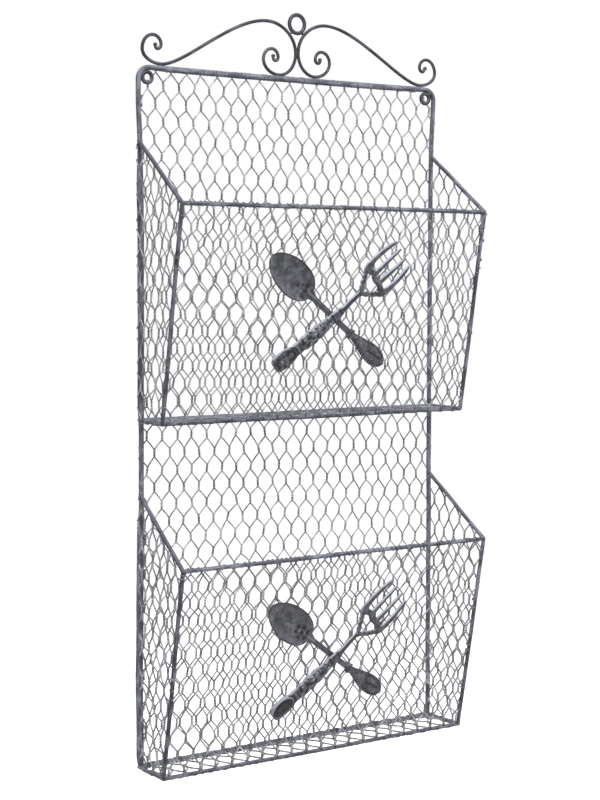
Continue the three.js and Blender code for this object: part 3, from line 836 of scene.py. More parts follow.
for number, name in enumerate(("centre_ring", "left_hanger_ring", "right_hanger_ring")):
    low, high = box(name)
    centre = (low + high) / 2
    ring_wire = (high[1] - low[1]) / 2 / FLAT
    ring_radius = (high[0] - low[0]) / 2 - RING_LINE * ring_wire
    shade = CENTRE_RING_SHADE
    if name != "centre_ring":
        centre += HANGER_SHIFT
        ring_radius -= HANGER_SMALLER
        shade = PLAIN_SHADE
    circle = arc([centre[0], centre[2]], ring_radius, 0, 2 * math.pi, RING_POINTS + 1)[:-1]
    rod_piece(
        name + "_round", bowed(upright_path(circle)), RING_THICKER * ring_wire, WALLWARD,
        scroll_finish, name, 70 + number, closed=True, shade=shade,
    )
    print(name, "radius", ring_radius)

# %% [markdown]
# Netting. Hexagonal wire netting is made of wires that are twisted, two and two, round each
# other. Each wire makes three half turns in a twist and leaves it on the far side, so it runs
# slantwise through the whole sheet, and half of the wires slant each way. A flat picture of
# hexagons would have no depth when seen from the side, so every wire is a real tube. Netting
# that is stretched by hand is never quite regular: each twist has its own small shift, and
# each sheet is pulled askew by a few millimetres. All of this is worked out in millimetres in
# the sheet's own plane.

# %% Wires of a sheet of netting
TWIST_POINTS = 11
HALF_TURNS = 3
SLANT_POINTS = 3
SLANT_SWELL = 0.12
JITTER = 0.42
WIRE_SIDES = 5
WIRE = WIRE_R / MM
TWIST_R = 0.45
DECIMETRE = 100
TOO_SHORT = 3


def sheet_wires(low, high, pitch, row, at, twist, pull, seed):
    """Every wire of a sheet between two corners. Twists stand at (at + column * pitch / 2,
    at + level * row) where column and level are both even or both odd. In a twist a wire is
    off the twist's line by r (cos t across, sin t out), with t from 0 to three half turns.
    Returns paths of (across, up, out)."""
    rng = np.random.default_rng(seed)
    half = pitch / 2
    first = math.floor((low[0] - at[0]) / half) - 2
    last = math.ceil((high[0] - at[0]) / half) + 2
    bottom = math.floor((low[1] - at[1]) / row) - 1
    top = math.ceil((high[1] - at[1]) / row) + 1
    count = top - bottom + 1
    step = np.arange(count)
    column = np.arange(first - count, last + count + 1)
    z, x = np.meshgrid(at[1] + (top - step) * row, at[0] + column * half, indexing="ij")
    jitter = rng.normal(0, JITTER, (4, *x.shape))
    upper = np.stack([x + jitter[0], z + twist / 2 + jitter[1]], axis=2)
    lower = np.stack([x + jitter[2], z - twist / 2 + jitter[3]], axis=2)
    s = np.linspace(0, 1, TWIST_POINTS)
    turn = np.pi * HALF_TURNS * s
    t = np.linspace(0, 1, SLANT_POINTS + 2)[1:-1]
    share = np.stack([t + SLANT_SWELL * t * (1 - t), t, t], axis=1)
    paths = []
    for lean in (1, -1):
        begin, end = (first - count, last) if lean == 1 else (first, last + count)
        for k in range(begin, end + 1):
            if (k + top) % 2:
                continue
            here = k + lean * step - (first - count)
            a = upper[step, here]
            b = lower[step, here]
            core = a[:, None] + (b - a)[:, None] * s[None, :, None]
            across = core[..., 0] - lean * TWIST_R * np.cos(turn)[None]
            out = np.broadcast_to(-lean * TWIST_R * np.sin(turn)[None], across.shape)
            twisted = np.stack([across, core[..., 1], out], axis=2)
            start = twisted[:-1, -1]
            stop = twisted[1:, 0]
            slant = start[:, None] + (stop - start)[:, None] * share[None]
            path = np.concatenate([twisted[:-1], slant], axis=1).reshape(-1, 3)
            path[:, 0], path[:, 1] = pull(path[:, 0], path[:, 1])
            paths.append(path)
    return paths


def pulled(centre, across, upward):
    """A sheet pulled askew: each coordinate gains a small polynomial of the place (a, b),
    counted in decimetres from the sheet's middle line and from a height."""

    def pull(u, v):
        a = u / DECIMETRE
        b = (v - centre) / DECIMETRE
        more_u = across[0] * b + across[1] * a * b + across[2] * b * b
        more_v = upward[0] * a + upward[1] * a * b + upward[2] * a * a
        return u + more_u, v + more_v

    return pull


def inside(points, outline):
    """How far each point lies inside a convex outline: the least distance to its sides."""
    a = np.asarray(outline, float)
    b = np.roll(a, -1, axis=0)
    ahead = unit(b - a)
    inward = np.stack([-ahead[:, 1], ahead[:, 0]], axis=1)
    offset = points[:, None, :2] - a[None]
    return (offset * inward[None]).sum(axis=2).min(axis=1)


def cut(path, outline):
    """The stretches of a path inside the outline, each ending exactly on its edge. Stretches
    of no more than TOO_SHORT points are left out."""
    depth = inside(path, outline)
    held = depth > 0
    edges = np.flatnonzero(np.diff(np.concatenate([[False], held, [False]]).astype(int)))
    runs = []
    for start, stop in zip(edges[::2], edges[1::2]):
        run = path[start:stop]
        if start > 0:
            share = depth[start] / (depth[start] - depth[start - 1])
            run = np.concatenate([[path[start] + (path[start - 1] - path[start]) * share], run])
        if stop < len(path):
            share = depth[stop - 1] / (depth[stop - 1] - depth[stop])
            run = np.concatenate([run, [path[stop - 1] + (path[stop] - path[stop - 1]) * share]])
        if len(run) > TOO_SHORT:
            runs.append(run)
    return runs


# %% [markdown]
# Where a wire reaches a rod, its end is wound round the rod once or twice. These little coils
# make the rails look like rope in the photo, and cut dark notches into the legs. Each coil is
# a helix round the rod's line. How the ends are wound differs from rod to rod, so each kind
# of rod has its own winding, in millimetres: the rod's radius, the share of ends that are
# wound, the least and most turns, how far the coil's outside stands off the rod, and how far
# the coil moves on in one turn.

# %% Wire ends wound round the rods
Winding = namedtuple("Winding", "rod chance turns stands step")
HOOP_MM = HOOP_R / MM
ROD_MM = ROD_R / MM
NOTHING = None
ON_LEG = Winding(HOOP_MM, 0.9, (1.5, 2.7), 0.42, 1.15)
ON_HOOP_RAIL = Winding(HOOP_MM, 1.0, (1.2, 2.4), 0.75, 2.7)
ON_RAIL = Winding(ROD_MM, 1.0, (0.9, 1.7), 0.7, 4.5)
ON_SIDE_ROD = Winding(ROD_MM, 0.6, (1.0, 2.0), 0.6, 2.6)
ON_POST = Winding(ROD_MM, 0.3, (1.0, 1.8), 0.5, 1.3)
COIL_WIRE = 0.43
COIL_SIDES = 4
POINTS_PER_TURN = 9
FEWEST_POINTS = 6
ASLANT = (0.31, 0.22, 0.92)
ANY_ANGLE = 6.3
ON_EDGE = 0.1


def coil(centre, ahead, reach, turns, start, step):
    """A helix round a rod, in metres: centre + ahead * step * t + reach * (cos, sin) of the
    turn t. Turns below zero make a helix of the same hand towards the other side."""
    side = unit(np.cross(ahead, ASLANT))
    up = np.cross(ahead, side)
    t = np.linspace(0, turns, max(FEWEST_POINTS, int(abs(turns) * POINTS_PER_TURN)))[:, None]
    turn = start + 2 * np.pi * t
    path = centre + ahead * step * t + reach * (side * np.cos(turn) + up * np.sin(turn))
    return sweep(path, COIL_WIRE * MM, ahead, COIL_SIDES)


def wound_end(end, outline, windings, place, rng):
    """The coil that a wire's end makes round the rod on whose side of the outline it lies. A
    coil that would run past the end of its rod goes the other way."""
    for a, b, winding in zip(outline, np.roll(outline, -1, axis=0), windings):
        ahead = unit(b - a)
        off = abs((end[1] - a[1]) * ahead[0] - (end[0] - a[0]) * ahead[1])
        if winding is NOTHING or off > ON_EDGE:
            continue
        if rng.random() > winding.chance:
            return None
        spots = np.array([[*end[:2], 0.0], [*(end[:2] + ahead), 0.0]])
        here, beyond = place(spots, 0.0)
        turns = rng.uniform(*winding.turns) * rng.choice([-1, 1])
        stop = (end[:2] - a) @ ahead + turns * winding.step
        if not 0 < stop < np.linalg.norm(b - a):
            turns = -turns
        reach = winding.rod + winding.stands - COIL_WIRE
        start = rng.uniform(0, ANY_ANGLE)
        return coil(here, unit(beyond - here), reach * MM, turns, start, winding.step * MM)
    return None


# %% [markdown]
# A net is the wires of a sheet, cut to the net's outline. Each stretch of wire becomes a tube
# and each end a coil, and all of them are joined to one piece, or to two where one would have
# too many triangles. The coils by the rods are drawn darker than the wires, each by its own
# random amount. The sheets don't look equally strong in the photo, so each has its own gauge,
# as a share of the plain wire.

# %% Nets
GAUGE = {"back": 1.12, "upper": 0.96, "lower": 1.26}
COIL_TONES = (0.25, 0.8)


def plain_tone(run):
    """Wires away from the rods have their full, pale tone."""
    return np.ones(len(run))


def net_piece(
    name, node, wires, outline, place, reference, windings, seed, gauge, parts=1, tone=plain_tone
):
    """One net from the wires of its sheet: cut to the outline, put in place and wound on the
    rods. The windings say, for each side of the outline, how wires end there. The wires are
    gauge times as thick as WIRE_R."""
    outline = np.asarray(outline, float)
    rng = np.random.default_rng(seed)
    left, width = outline[:, 0].min(), np.ptp(outline[:, 0])
    groups = [[] for _ in range(parts)]
    for wire in wires:
        for run in cut(wire, outline):
            group = groups[min(parts - 1, int(parts * (run[:, 0].mean() - left) / width))]
            tube = sweep(place(run, 1.0), gauge * WIRE_R, reference, WIRE_SIDES)
            group.append((tube, np.repeat(tone(run), WIRE_SIDES)))
            for end in (run[0], run[-1]):
                wound = wound_end(end, outline, windings, place, rng)
                if wound is not None:
                    group.append((wound, np.full(len(wound[0]), rng.uniform(*COIL_TONES))))
    for number, group in enumerate(groups):
        label = name if parts == 1 else f"{name}_{number + 1}"
        shape = joined([part for part, shade in group])
        shades = np.concatenate([shade for part, shade in group])
        piece(label, shape, wire_finish, [node], tone=shades)
        print(label, "points", len(shape[0]), "strands and coils", len(group))


def flat_place(origin, axes, bend=None):
    """Places a sheet in a plane given by an origin and its axes across, up and out. A plane
    has no rod to lift the sheet off, so its lift changes nothing."""
    axes = np.asarray(axes, float)

    def place(points, lift):
        world = np.asarray(origin) + (points * MM) @ axes
        return bend(world) if bend else world

    return place


# %% [markdown]
# The back is one sheet over the whole hoop, with its top corners cut off at a slant. It was
# stretched by hand, so its columns sway and its rows slant and arch. Each pull sideways is
# strongest at one height and grows or shrinks across the sheet.

# %% Back netting
CUT_CORNER = 17
LEFT_INSET = 1.2
TOP_INSET = 0.7
SHEET_OVER = 8
BACK_PITCH = 14.35
BACK_ROW = 14.16
BACK_AT = (5.9, 0.9)
BACK_TWIST = 7.0
# How the columns go, in millimetres: they drift to one side with the height, sway, bulge in
# the middle, and were pulled at a dent in the sheet and at its left edge.
DRIFT = 0.011
NO_DRIFT_AT = 330
SWAY = 1.1
SWAY_STEP = 190
BULGE = 1.9
BULGE_HALF = 150
BULGE_HEIGHT = (255, 60)
DENT = 1.0
DENT_ACROSS = (10, 50)
DENT_HEIGHT = (425, 35)
EDGE_PULL = 1.5
EDGE_ACROSS = (-145, 28)
EDGE_HEIGHTS = (180, 220, 330, 380)
# Wider pulls as (amount, share of it at the middle, way across that adds one to the share,
# height, reach).
BACK_PULLS = [(2.6, 0.6, -250, 350, 50), (2.2, 0.75, 250, 110, 35), (-2.2, 0.6, -200, 30, 35)]
ROWS_HIGHER = 0.4
ROWS_SLANT = 0.0195
ROWS_ARCH = 0.3
leg = LEG_X / MM
rail = RAIL_Z / MM


def back_pull(u, v):
    """The back sheet sways from side to side as it goes up, was pulled askew by hand in
    several places, and its rows slant and arch."""
    sway = DRIFT * (v - NO_DRIFT_AT) + SWAY * np.cos(np.pi * (v - SWAY_STEP) / SWAY_STEP)
    sway = sway + BULGE * (1 - (u / BULGE_HALF) ** 2) * hill(v, *BULGE_HEIGHT)
    sway = sway - DENT * hill(u, *DENT_ACROSS) * hill(v, *DENT_HEIGHT)
    sway = sway + EDGE_PULL * hill(u, *EDGE_ACROSS) * between(*EDGE_HEIGHTS, v)
    for amount, share, way, height, reach in BACK_PULLS:
        sway = sway + amount * (share + u / way) * hill(v, height, reach)
    return u + sway, v + ROWS_HIGHER - ROWS_SLANT * u - ROWS_ARCH * (u / DECIMETRE) ** 2


left_edge = -leg + LEFT_INSET
top_edge = rail - TOP_INSET
back_outline = [
    (left_edge, 0), (leg, 0), (leg, rail - CUT_CORNER), (leg - CUT_CORNER, top_edge),
    (-leg + CUT_CORNER, top_edge), (left_edge, rail - CUT_CORNER),
]
back_wires = sheet_wires(
    (-leg, -SHEET_OVER), (leg, rail + SHEET_OVER), BACK_PITCH, BACK_ROW, BACK_AT, BACK_TWIST,
    back_pull, seed=3,
)
net_piece(
    "back_net_wire", "back_net", back_wires, back_outline,
    flat_place([0, HOOP_Y, 0], [ACROSS, UP, FRONT], bowed), ACROSS,
    [ON_HOOP_RAIL, ON_LEG, NOTHING, ON_HOOP_RAIL, NOTHING, ON_LEG], 103, GAUGE["back"], parts=2,
)

# %% [markdown]
# Each pocket's front and floor are one sheet too: it hangs from the front's top rail, passes
# under the front's bottom rail on the outside and goes on to the back rail. So its wires are
# worked out flat, as one sheet, and then bent round the bottom rail.

# %% A pocket's sheet
FLATTENS = 27
BEND_SINKS = 0.3


def front_plane(prefix):
    """The slanting plane of a pocket's front: a point at its foot, its directions up and out,
    and its height."""
    foot, top = (rail_middle * [0, 1, 1] for rail_middle in front_rails(prefix))
    lean = unit(top - foot)
    return foot, lean, np.cross(ACROSS, lean), np.linalg.norm(top - foot)


def pocket_sheet(prefix):
    """Placing of the sheet that makes a pocket's front and floor, half the length of its bend
    round the bottom rail, and the front's height. Height v is counted from the middle of the
    bend: above it the sheet follows the lean of the front, below it the floor. At the bend it
    stands off the rod's line by a little less than the rod's radius, because the wires sink
    into the lacquer, and that eases to nothing at FLATTENS."""
    foot, lean, out, height = front_plane(prefix)
    angle = math.acos(-out[2])
    reach = ROD_MM - BEND_SINKS * WIRE
    half = reach * angle / 2

    def place(points, lift):
        u, v, w = points.T
        bend = angle * np.clip((half - v) / (2 * half), 0, 1)
        normal = np.cos(bend)[:, None] * out - np.sin(bend)[:, None] * lean
        stand = lift * reach * (1 - ease(half, FLATTENS, np.abs(v)))
        climb = np.clip(v - half, 0, None)[:, None] * lean
        behind = np.clip(-v - half, 0, None)[:, None] * WALLWARD
        flat = u[:, None] * ACROSS + climb + behind + (stand + w)[:, None] * normal
        return foot + MM * flat

    return place, half, height / MM


# %% [markdown]
# The side panels are separate pieces of netting, flat and with narrower cells on the left.
# Front and floor were pulled askew when the sheet was stretched, the sides were not. Where a
# sheet passes round its bottom rail, its wires are darkened with painted shade.

# %% Pocket netting
# Each sheet's pitch and row, the place of one of its twists, and how it is pulled askew.
SHEETS = {
    "upper": ((14.51, 14.12), (0.45, 3.4), pulled(85, (1.8, 0.45, -0.28), (-1.34, 0.12, -0.25))),
    "lower": ((14.85, 14.12), (5.8, 20.0), pulled(85, (-1.0, -0.19, 1.2), (0.65, -0.55, 0.25))),
}
# Each side panel's pitch and row, and the place of one of its twists.
SIDE_NETS = {
    ("upper", "left"): ((12.2, 14.3), (5.5, 0.0)),
    ("upper", "right"): ((14.25, 14.16), (1.0, 1.2)),
    ("lower", "left"): ((12.2, 14.3), (6.0, 15.6)),
    ("lower", "right"): ((14.25, 14.1), (5.8, 3.3)),
}
POCKET_TWIST = 6.7
BACK_WINDING = {"upper": ON_RAIL, "lower": ON_HOOP_RAIL}
SHEET_TONE = 0.93
# Painted shade on the wires where a sheet bends round its bottom rail: how much, and how far in
# millimetres.
BEND_PAINTED_SHADE = 0.7
BEND_REACH = 4
edge = SIDE_X / MM


def unpulled(u, v):
    """A sheet that hangs as it was woven."""
    return u, v


def painted_shade_at_bend(run):
    """Painted shade on the wires where the sheet passes round the bottom rail, at height 0."""
    return SHEET_TONE - BEND_PAINTED_SHADE * hill(run[:, 1], 0, BEND_REACH)


def front_and_floor(number, prefix):
    """The front net and the bottom net of a pocket, cut from one sheet."""
    foot = middle(prefix + "_front_bottom_rail")
    depth = (middle(prefix + "_back_rail")[1] - foot[1]) / MM
    place, half, height = pocket_sheet(prefix)
    (pitch, row), at, pull = SHEETS[prefix]
    low_right, top_right = (edge + lean for lean in RIGHT_LEAN[prefix])
    top = height + half
    back = -depth - half
    wires = sheet_wires(
        (-edge, back), (edge, top), pitch, row, (at[0], at[1] + half), POCKET_TWIST, pull,
        seed=11 + number,
    )
    net_piece(
        prefix + "_front_net_wire", prefix + "_front_net", wires,
        [(-edge, 0), (low_right, 0), (top_right, top), (-edge, top)], place, ACROSS,
        [NOTHING, ON_POST, ON_RAIL, ON_POST], 111 + number, GAUGE[prefix], tone=painted_shade_at_bend,
    )
    net_piece(
        prefix + "_bottom_net_wire", prefix + "_bottom_net", wires,
        [(-edge, back), (edge, back), (low_right, 0), (-edge, 0)], place, ACROSS,
        [BACK_WINDING[prefix], ON_SIDE_ROD, NOTHING, ON_SIDE_ROD], 121 + number, GAUGE[prefix],
        tone=painted_shade_at_bend,
    )


def side_panels(number, prefix):
    """The two side nets of a pocket, each worked out as (forwards, up) from its leg."""
    foot, top = front_rails(prefix)
    deep = (HOOP_Y - foot[1]) / MM
    mouth = (HOOP_Y - top[1]) / MM
    front_height = (top - foot)[2] / MM
    leg_height = SIDE_HEIGHT / MM
    for sign, word in ((-1, "left"), (1, "right")):
        (pitch, row), at = SIDE_NETS[prefix, word]
        wires = sheet_wires(
            (0, 0), (mouth, leg_height), pitch, row, at, POCKET_TWIST, unpulled,
            seed=21 + 4 * number + sign,
        )
        net_piece(
            f"{prefix}_{word}_net_wire", f"{prefix}_{word}_net", wires,
            [(0, 0), (deep, 0), (mouth, front_height), (0, leg_height)],
            flat_place([sign * SIDE_X, HOOP_Y, foot[2]], [FRONT, UP, -ACROSS]), FRONT,
            [ON_SIDE_ROD, ON_POST, NOTHING, NOTHING], 131 + 4 * number + sign, GAUGE[prefix],
        )


for number, prefix in enumerate(("upper", "lower")):
    front_and_floor(number, prefix)
    side_panels(number, prefix)

# %% [markdown]
# Castings. A spoon and a fork lie crossed on each front. They are worked out flat, in
# millimetres along the piece, across it and out from the netting, and laid on the slanting
# front afterwards. Their relief is a sum of drawn strokes, round bumps and a scatter of fine
# carving, which is drawn at random once and shared by all of them.

# %% Cast pieces: shared parts
SEAT = 1.2
# The crossing's place on the front, across and up in millimetres, and each piece's slope in
# degrees.
LAID = {
    ("upper", "spoon"): (0.7, 85.0, 143.7), ("upper", "fork"): (1.0, 87.1, 38.5),
    ("lower", "spoon"): (0.1, 87.4, 143.7), ("lower", "fork"): (0.6, 85.6, 39.5),
}
# Carving as (along, across, size, height), then the same scatter squeezed and moved to the
# end of a fork's handle and to a spoon's teardrop.
CARVED_SPOTS = 90
carver = np.random.default_rng(5)
CARVING = np.stack(
    [
        carver.uniform(low, high, CARVED_SPOTS)
        for low, high in ((24, 66), (-5, 5), (0.5, 1.15), (-1.0, 0.8))
    ],
    axis=1,
)
END_CARVING = CARVING[:40] * [0.5, 1.2, 0.9, 0.6] + [-11, 0, 0, 0]
TEARDROP_CARVING = CARVING * [1, 1.3, 0.7, 0.55] + [-21, 0, 0, 0]
STROKE_POINTS = 14


def smooth_path(points, count):
    """A curve through points, by cubic Hermite pieces whose tangents are half the step
    between the neighbours of a point."""
    p = np.asarray(points, float)
    m = np.gradient(p, axis=0)
    s = np.linspace(0, len(p) - 1, count)
    i = np.minimum(s.astype(int), len(p) - 2)
    t = (s - i)[:, None]
    h00 = 2 * t**3 - 3 * t**2 + 1
    h10 = t**3 - 2 * t**2 + t
    h01 = -2 * t**3 + 3 * t**2
    h11 = t**3 - t**2
    return h00 * p[i] + h10 * m[i] + h01 * p[i + 1] + h11 * m[i + 1]


def stroke(u, v, points, width):
    """Nearness to a drawn line: exp(-(d / width)^2), where d is the distance to the smooth
    curve through the points."""
    nearest = np.full(u.shape, np.inf)
    for a, b in smooth_path(points, STROKE_POINTS * len(points)):
        nearest = np.minimum(nearest, (u - a) ** 2 + (v - b) ** 2)
    return np.exp(-nearest / width**2)


def bumps(u, v, spots):
    """A sum of round bumps exp(-d^2 / size^2) at spots given as (u, v, size, height)."""
    total = np.zeros(np.broadcast(u, v).shape)
    for a, b, size, height in spots:
        total += height * np.exp(-((u - a) ** 2 + (v - b) ** 2) / size**2)
    return total


def lay_on_front(points, prefix, kind, crossing):
    """Points (along, across, out) turned and laid on the front netting of a pocket, with the
    point at the distance crossing along the piece on the place that LAID has."""
    x0, up0, slope = LAID[prefix, kind]
    slope = math.radians(slope)
    foot, lean, out, _ = front_plane(prefix)
    along = points[..., 0] - crossing
    x = x0 + along * math.cos(slope) - points[..., 1] * math.sin(slope)
    up = up0 + along * math.sin(slope) + points[..., 1] * math.cos(slope)
    flat = np.stack([x, up, points[..., 2]], axis=-1) * MM
    return foot + flat @ np.array([ACROSS, lean, out])


def shell(face, back_side):
    """A closed skin from two grids of points with the same edges, face up and back down."""
    rows, across = face.shape[:2]
    ring = np.concatenate([face, back_side[:, ::-1]], axis=1)
    width = 2 * across
    points = ring.reshape(-1, 3)
    here = np.arange(rows - 1)[:, None] * width
    k = np.arange(width)[None, :]
    k1 = (k + 1) % width
    quads = np.stack([here + k, here + width + k, here + width + k1, here + k1], axis=-1)
    j = np.arange(across - 1)
    start = np.stack([j, j + 1, width - 2 - j, width - 1 - j], axis=1)
    stop = (rows - 1) * width + start[:, ::-1]
    return points, [quads.reshape(-1, 4), start, stop]


# %% [markdown]
# Cast spoon. The real one is cast from a piece of cutlery: a dished bowl with small pits at
# its root, a fluted stem, a collar and a teardrop end with a beaded border. It is one surface
# of two parameters, u along the piece and f across it, once for the face and once for the
# back, with the relief added to the face's height.

# %% Outline of the spoon
SPOON_LENGTH = 155.5
SPOON_CROSSING = 69.5
TEARDROP = 8.3
TEARDROP_TIP = 14
STEM = 2.5
BOWL_START = 102
BOWL_MIDDLE = (BOWL_START + SPOON_LENGTH) / 2
BOWL_HALF = 15.1
BEAD_STEP = 2.7
THINNEST = 0.6
TAPER_END = 48
SCALLOP = 0.14
SCALLOPS_START = (1, 4)
SCALLOPS_END = 41
# The collar's two swellings as (height, place, width, power).
COLLAR = [(4.0, 45.5, 2.8, 4), (0.8, 44, 1.2, 2)]
EGG = 0.12
NECK_SWELL = 1.5
NECK = (90, 96, 102, 112)


def beads(u):
    """The wave of the beaded border, 1 on a bead and -1 between two."""
    return np.cos(u * 2 * np.pi / BEAD_STEP)


def bowl_share(u):
    """Where a place lies in the bowl, from -1 at its root to 1 at its tip."""
    return np.clip((u - BOWL_MIDDLE) / (SPOON_LENGTH - BOWL_MIDDLE), -1, 1)


def spoon_half_width(u):
    """Teardrop end, taper, collar, stem and an egg-shaped bowl, whichever is widest."""
    tip = TEARDROP * np.sqrt(np.clip(1 - ((TEARDROP_TIP - u) / TEARDROP_TIP) ** 2, 0.02, 1))
    taper = TEARDROP + (STEM - TEARDROP) * ease(TEARDROP_TIP, TAPER_END, u)
    scallop = SCALLOP * beads(u) * (u < SCALLOPS_END) * ease(*SCALLOPS_START, u)
    end = np.where(u < TEARDROP_TIP, tip, taper) + scallop
    collar = sum(height * hill(u, *swelling) for height, *swelling in COLLAR)
    t = bowl_share(u)
    egg = BOWL_HALF * np.sqrt(np.clip(1 - t * t, 0, 1)) * (1 - EGG * t)
    neck = (STEM + NECK_SWELL * ease(NECK[1], NECK[2], u)) * (u > NECK[0]) * (u < NECK[3])
    return np.maximum.reduce([end, collar, egg, neck, np.full_like(u, THINNEST)])


print("spoon", SPOON_LENGTH, "mm long, bowl", 2 * BOWL_HALF, "mm wide")

# %% [markdown]
# The relief of the spoon. Its parts come one after the other along the piece: border, carved
# line, fan and fine carving on the teardrop, bands and lumps on the collar, flutes on the
# stem, pits and a sunk rim in the bowl. So each has a depth in millimetres and a stretch that
# it eases into and out of. The pits differ on the two spoons.

# %% Relief of the spoon
DEPTH = {
    "bead": 0.8, "border": 0.35, "ditch": 0.3, "line": 0.85, "fan": 0.2, "ridge": 0.12,
    "flute": 0.32, "rim": 0.5, "root": 0.35,
}
ON_TEARDROP = (1, 3, 40, 43)
ON_FAN = (2, 5, 20, 30)
ON_RIDGE = (24, 30, 38, 43)
ON_STEM = (48, 52, 94, 101)
FAN_STEP = 3.0
FLUTES = 3
# Where rims lie on the way from the middle to the edge, as (place, width).
BORDER_AT = (0.86, 0.13)
DITCH_AT = (0.7, 0.07)
RIM_AT = (0.97, 0.035)
FAN_SPREAD = 1.1
FAN_SPINE = 1.5
FAN_EDGE = 0.66
LINE_WIDTH = 0.95
RIDGE_WIDTH = 2.0
COLLAR_BAND_WIDTH = 0.8
ROOT_WIDTH = 1.1
PITS_START = (103, 105)
RIM_STARTS = (103, 107)
CARVED_LINE = [(21, 0.9), (17, 0.3), (15, -0.5), (9, -0.6), (7, -1.0)]
BOWL_ROOT = [(97, 0), (101, 0), (105, 0)]
COLLAR_BANDS = [(43.6, 0.15), (45.6, -0.5), (47.6, 0.15)]
COLLAR_LUMPS = [(46, -3.4, 1.2, 0.5), (43, 3.9, 1.3, 0.4), (48.5, 1, 1, -0.6)]
BOWL_PITS = {
    "upper": [
        (117.8, 1.5, 1.5, -1.1), (110.3, -3.6, 2.2, -0.7), (109.0, 1.2, 1.5, -1.4),
        (109.9, 6.7, 1.3, -1.1), (107.1, 6.7, 1.2, -1.0), (114.5, -1.5, 1.2, -0.8),
        (113.0, 3.6, 1.5, 0.3), (107.0, -1.0, 1.2, 0.35),
    ],
    "lower": [
        (118.4, -1.8, 1.4, -1.2), (118.0, 2.6, 1.3, -1.1), (113.2, -4.0, 1.5, -1.2),
        (112.6, 0.8, 1.4, -1.3), (113.0, 5.4, 1.5, -1.3), (107.6, -2.4, 1.4, -1.1),
        (107.6, 3.0, 1.5, -1.3), (115.4, 0.4, 1.4, 0.5), (110.2, -0.8, 1.2, 0.45),
    ],
}


def spoon_relief(u, f, v, prefix):
    """Height of the cast relief in millimetres over the whole face, at u along the spoon, v
    across it and f, which is v as a share of the half width."""
    rim = np.abs(f)
    border = hill(rim, *BORDER_AT) * (DEPTH["bead"] * beads(u) - DEPTH["border"])
    ditch = DEPTH["ditch"] * hill(rim, *DITCH_AT)
    relief = between(*ON_TEARDROP, u) * (border - ditch + bumps(u, v, TEARDROP_CARVING))
    relief -= DEPTH["line"] * stroke(u, v, CARVED_LINE, LINE_WIDTH)
    fan = np.cos((u - FAN_SPREAD * np.abs(v)) * 2 * np.pi / FAN_STEP) * between(*ON_FAN, u)
    relief += DEPTH["fan"] * fan * (1 - hill(v, 0, FAN_SPINE)) * (rim < FAN_EDGE)
    relief += DEPTH["ridge"] * hill(v, 0, RIDGE_WIDTH, 4) * between(*ON_RIDGE, u)
    for at, height in COLLAR_BANDS:
        relief += height * hill(u, at, COLLAR_BAND_WIDTH)
    relief += bumps(u, v, COLLAR_LUMPS)
    relief += DEPTH["flute"] * np.cos(f * np.pi * FLUTES) * between(*ON_STEM, u)
    relief += bumps(u, v, BOWL_PITS[prefix]) * ease(*PITS_START, u)
    relief -= DEPTH["rim"] * hill(rim, *RIM_AT) * ease(*RIM_STARTS, u)
    return relief + DEPTH["root"] * stroke(u, v, BOWL_ROOT, ROOT_WIDTH)


# %% [markdown]
# The spoon's two skins. The bowl is dished, its back follows its face at an even thickness,
# and the handle's face is a little crowned. Points lie closer together towards the rim, where
# the border is. The face's tone follows its relief, and the bowl gets painted light towards one
# side and a little painted shade towards the other.

# %% Spoon
BOWL_DISH = 3.4
SPOON_THICK = 1.7
CROWN = 0.9
RELIEF_SHARE = 0.8
SPOON_ROWS = 380
SPOON_ACROSS = 49
SPOON_TONE = 0.38
TONE_PER_MM = 0.75
ROWS_SHIFT = 0.012
BOWL_RISES = (90, 112)
CROWN_ENDS = (96, 106)
# Painted light on one side of the bowl and painted shade on the other, and where they start.
BOWL_PAINTED_LIGHT = 0.17
BOWL_PAINTED_SHADE = 0.08
SIDES_DIFFER = (103, 108)


def spoon_surface(prefix):
    """Face and back of the spoon as grids of (along, across, out), and the tone of both, from
    0 in the hollows to 1 on the crests."""
    share = np.linspace(0, 1, SPOON_ROWS)
    u = SPOON_LENGTH * (share + ROWS_SHIFT * np.sin(2 * np.pi * share))
    u[0], u[-1] = 0.0, SPOON_LENGTH
    f = np.sin(np.linspace(-np.pi / 2, np.pi / 2, SPOON_ACROSS))
    uu, ff = np.meshgrid(u, f, indexing="ij")
    v = spoon_half_width(uu) * ff
    dish = BOWL_DISH * (1 - bowl_share(uu) ** 2) * (1 - ff**2)
    rim = SEAT + SPOON_THICK + BOWL_DISH * ease(*BOWL_RISES, uu)
    crown = CROWN * (1 - ff**2) * (1 - ease(*CROWN_ENDS, uu))
    relief = spoon_relief(uu, ff, v, prefix)
    face = np.stack([uu, v, rim + crown - dish + RELIEF_SHARE * relief], axis=2)
    back_side = np.stack([uu, v, rim - SPOON_THICK - dish], axis=2)
    # Painted light towards one side of the bowl, painted shade towards the other.
    bowl_light_and_shade = np.where(ff > 0, BOWL_PAINTED_LIGHT, BOWL_PAINTED_SHADE) * ff * ease(*SIDES_DIFFER, uu)
    tone = np.clip(SPOON_TONE + TONE_PER_MM * relief + bowl_light_and_shade, 0, 1)
    return face, back_side, np.concatenate([tone, np.full_like(tone, SPOON_TONE)], axis=1)


for prefix in ("upper", "lower"):
    face, back_side, tone = spoon_surface(prefix)
    points, faces = shell(face, back_side)
    placed = lay_on_front(points, prefix, "spoon", SPOON_CROSSING)
    piece(
        prefix + "_spoon_cast", (placed, faces), cast_finish, [prefix + "_spoon"],
        tone,
    )
print("spoons", len(points), "points each")

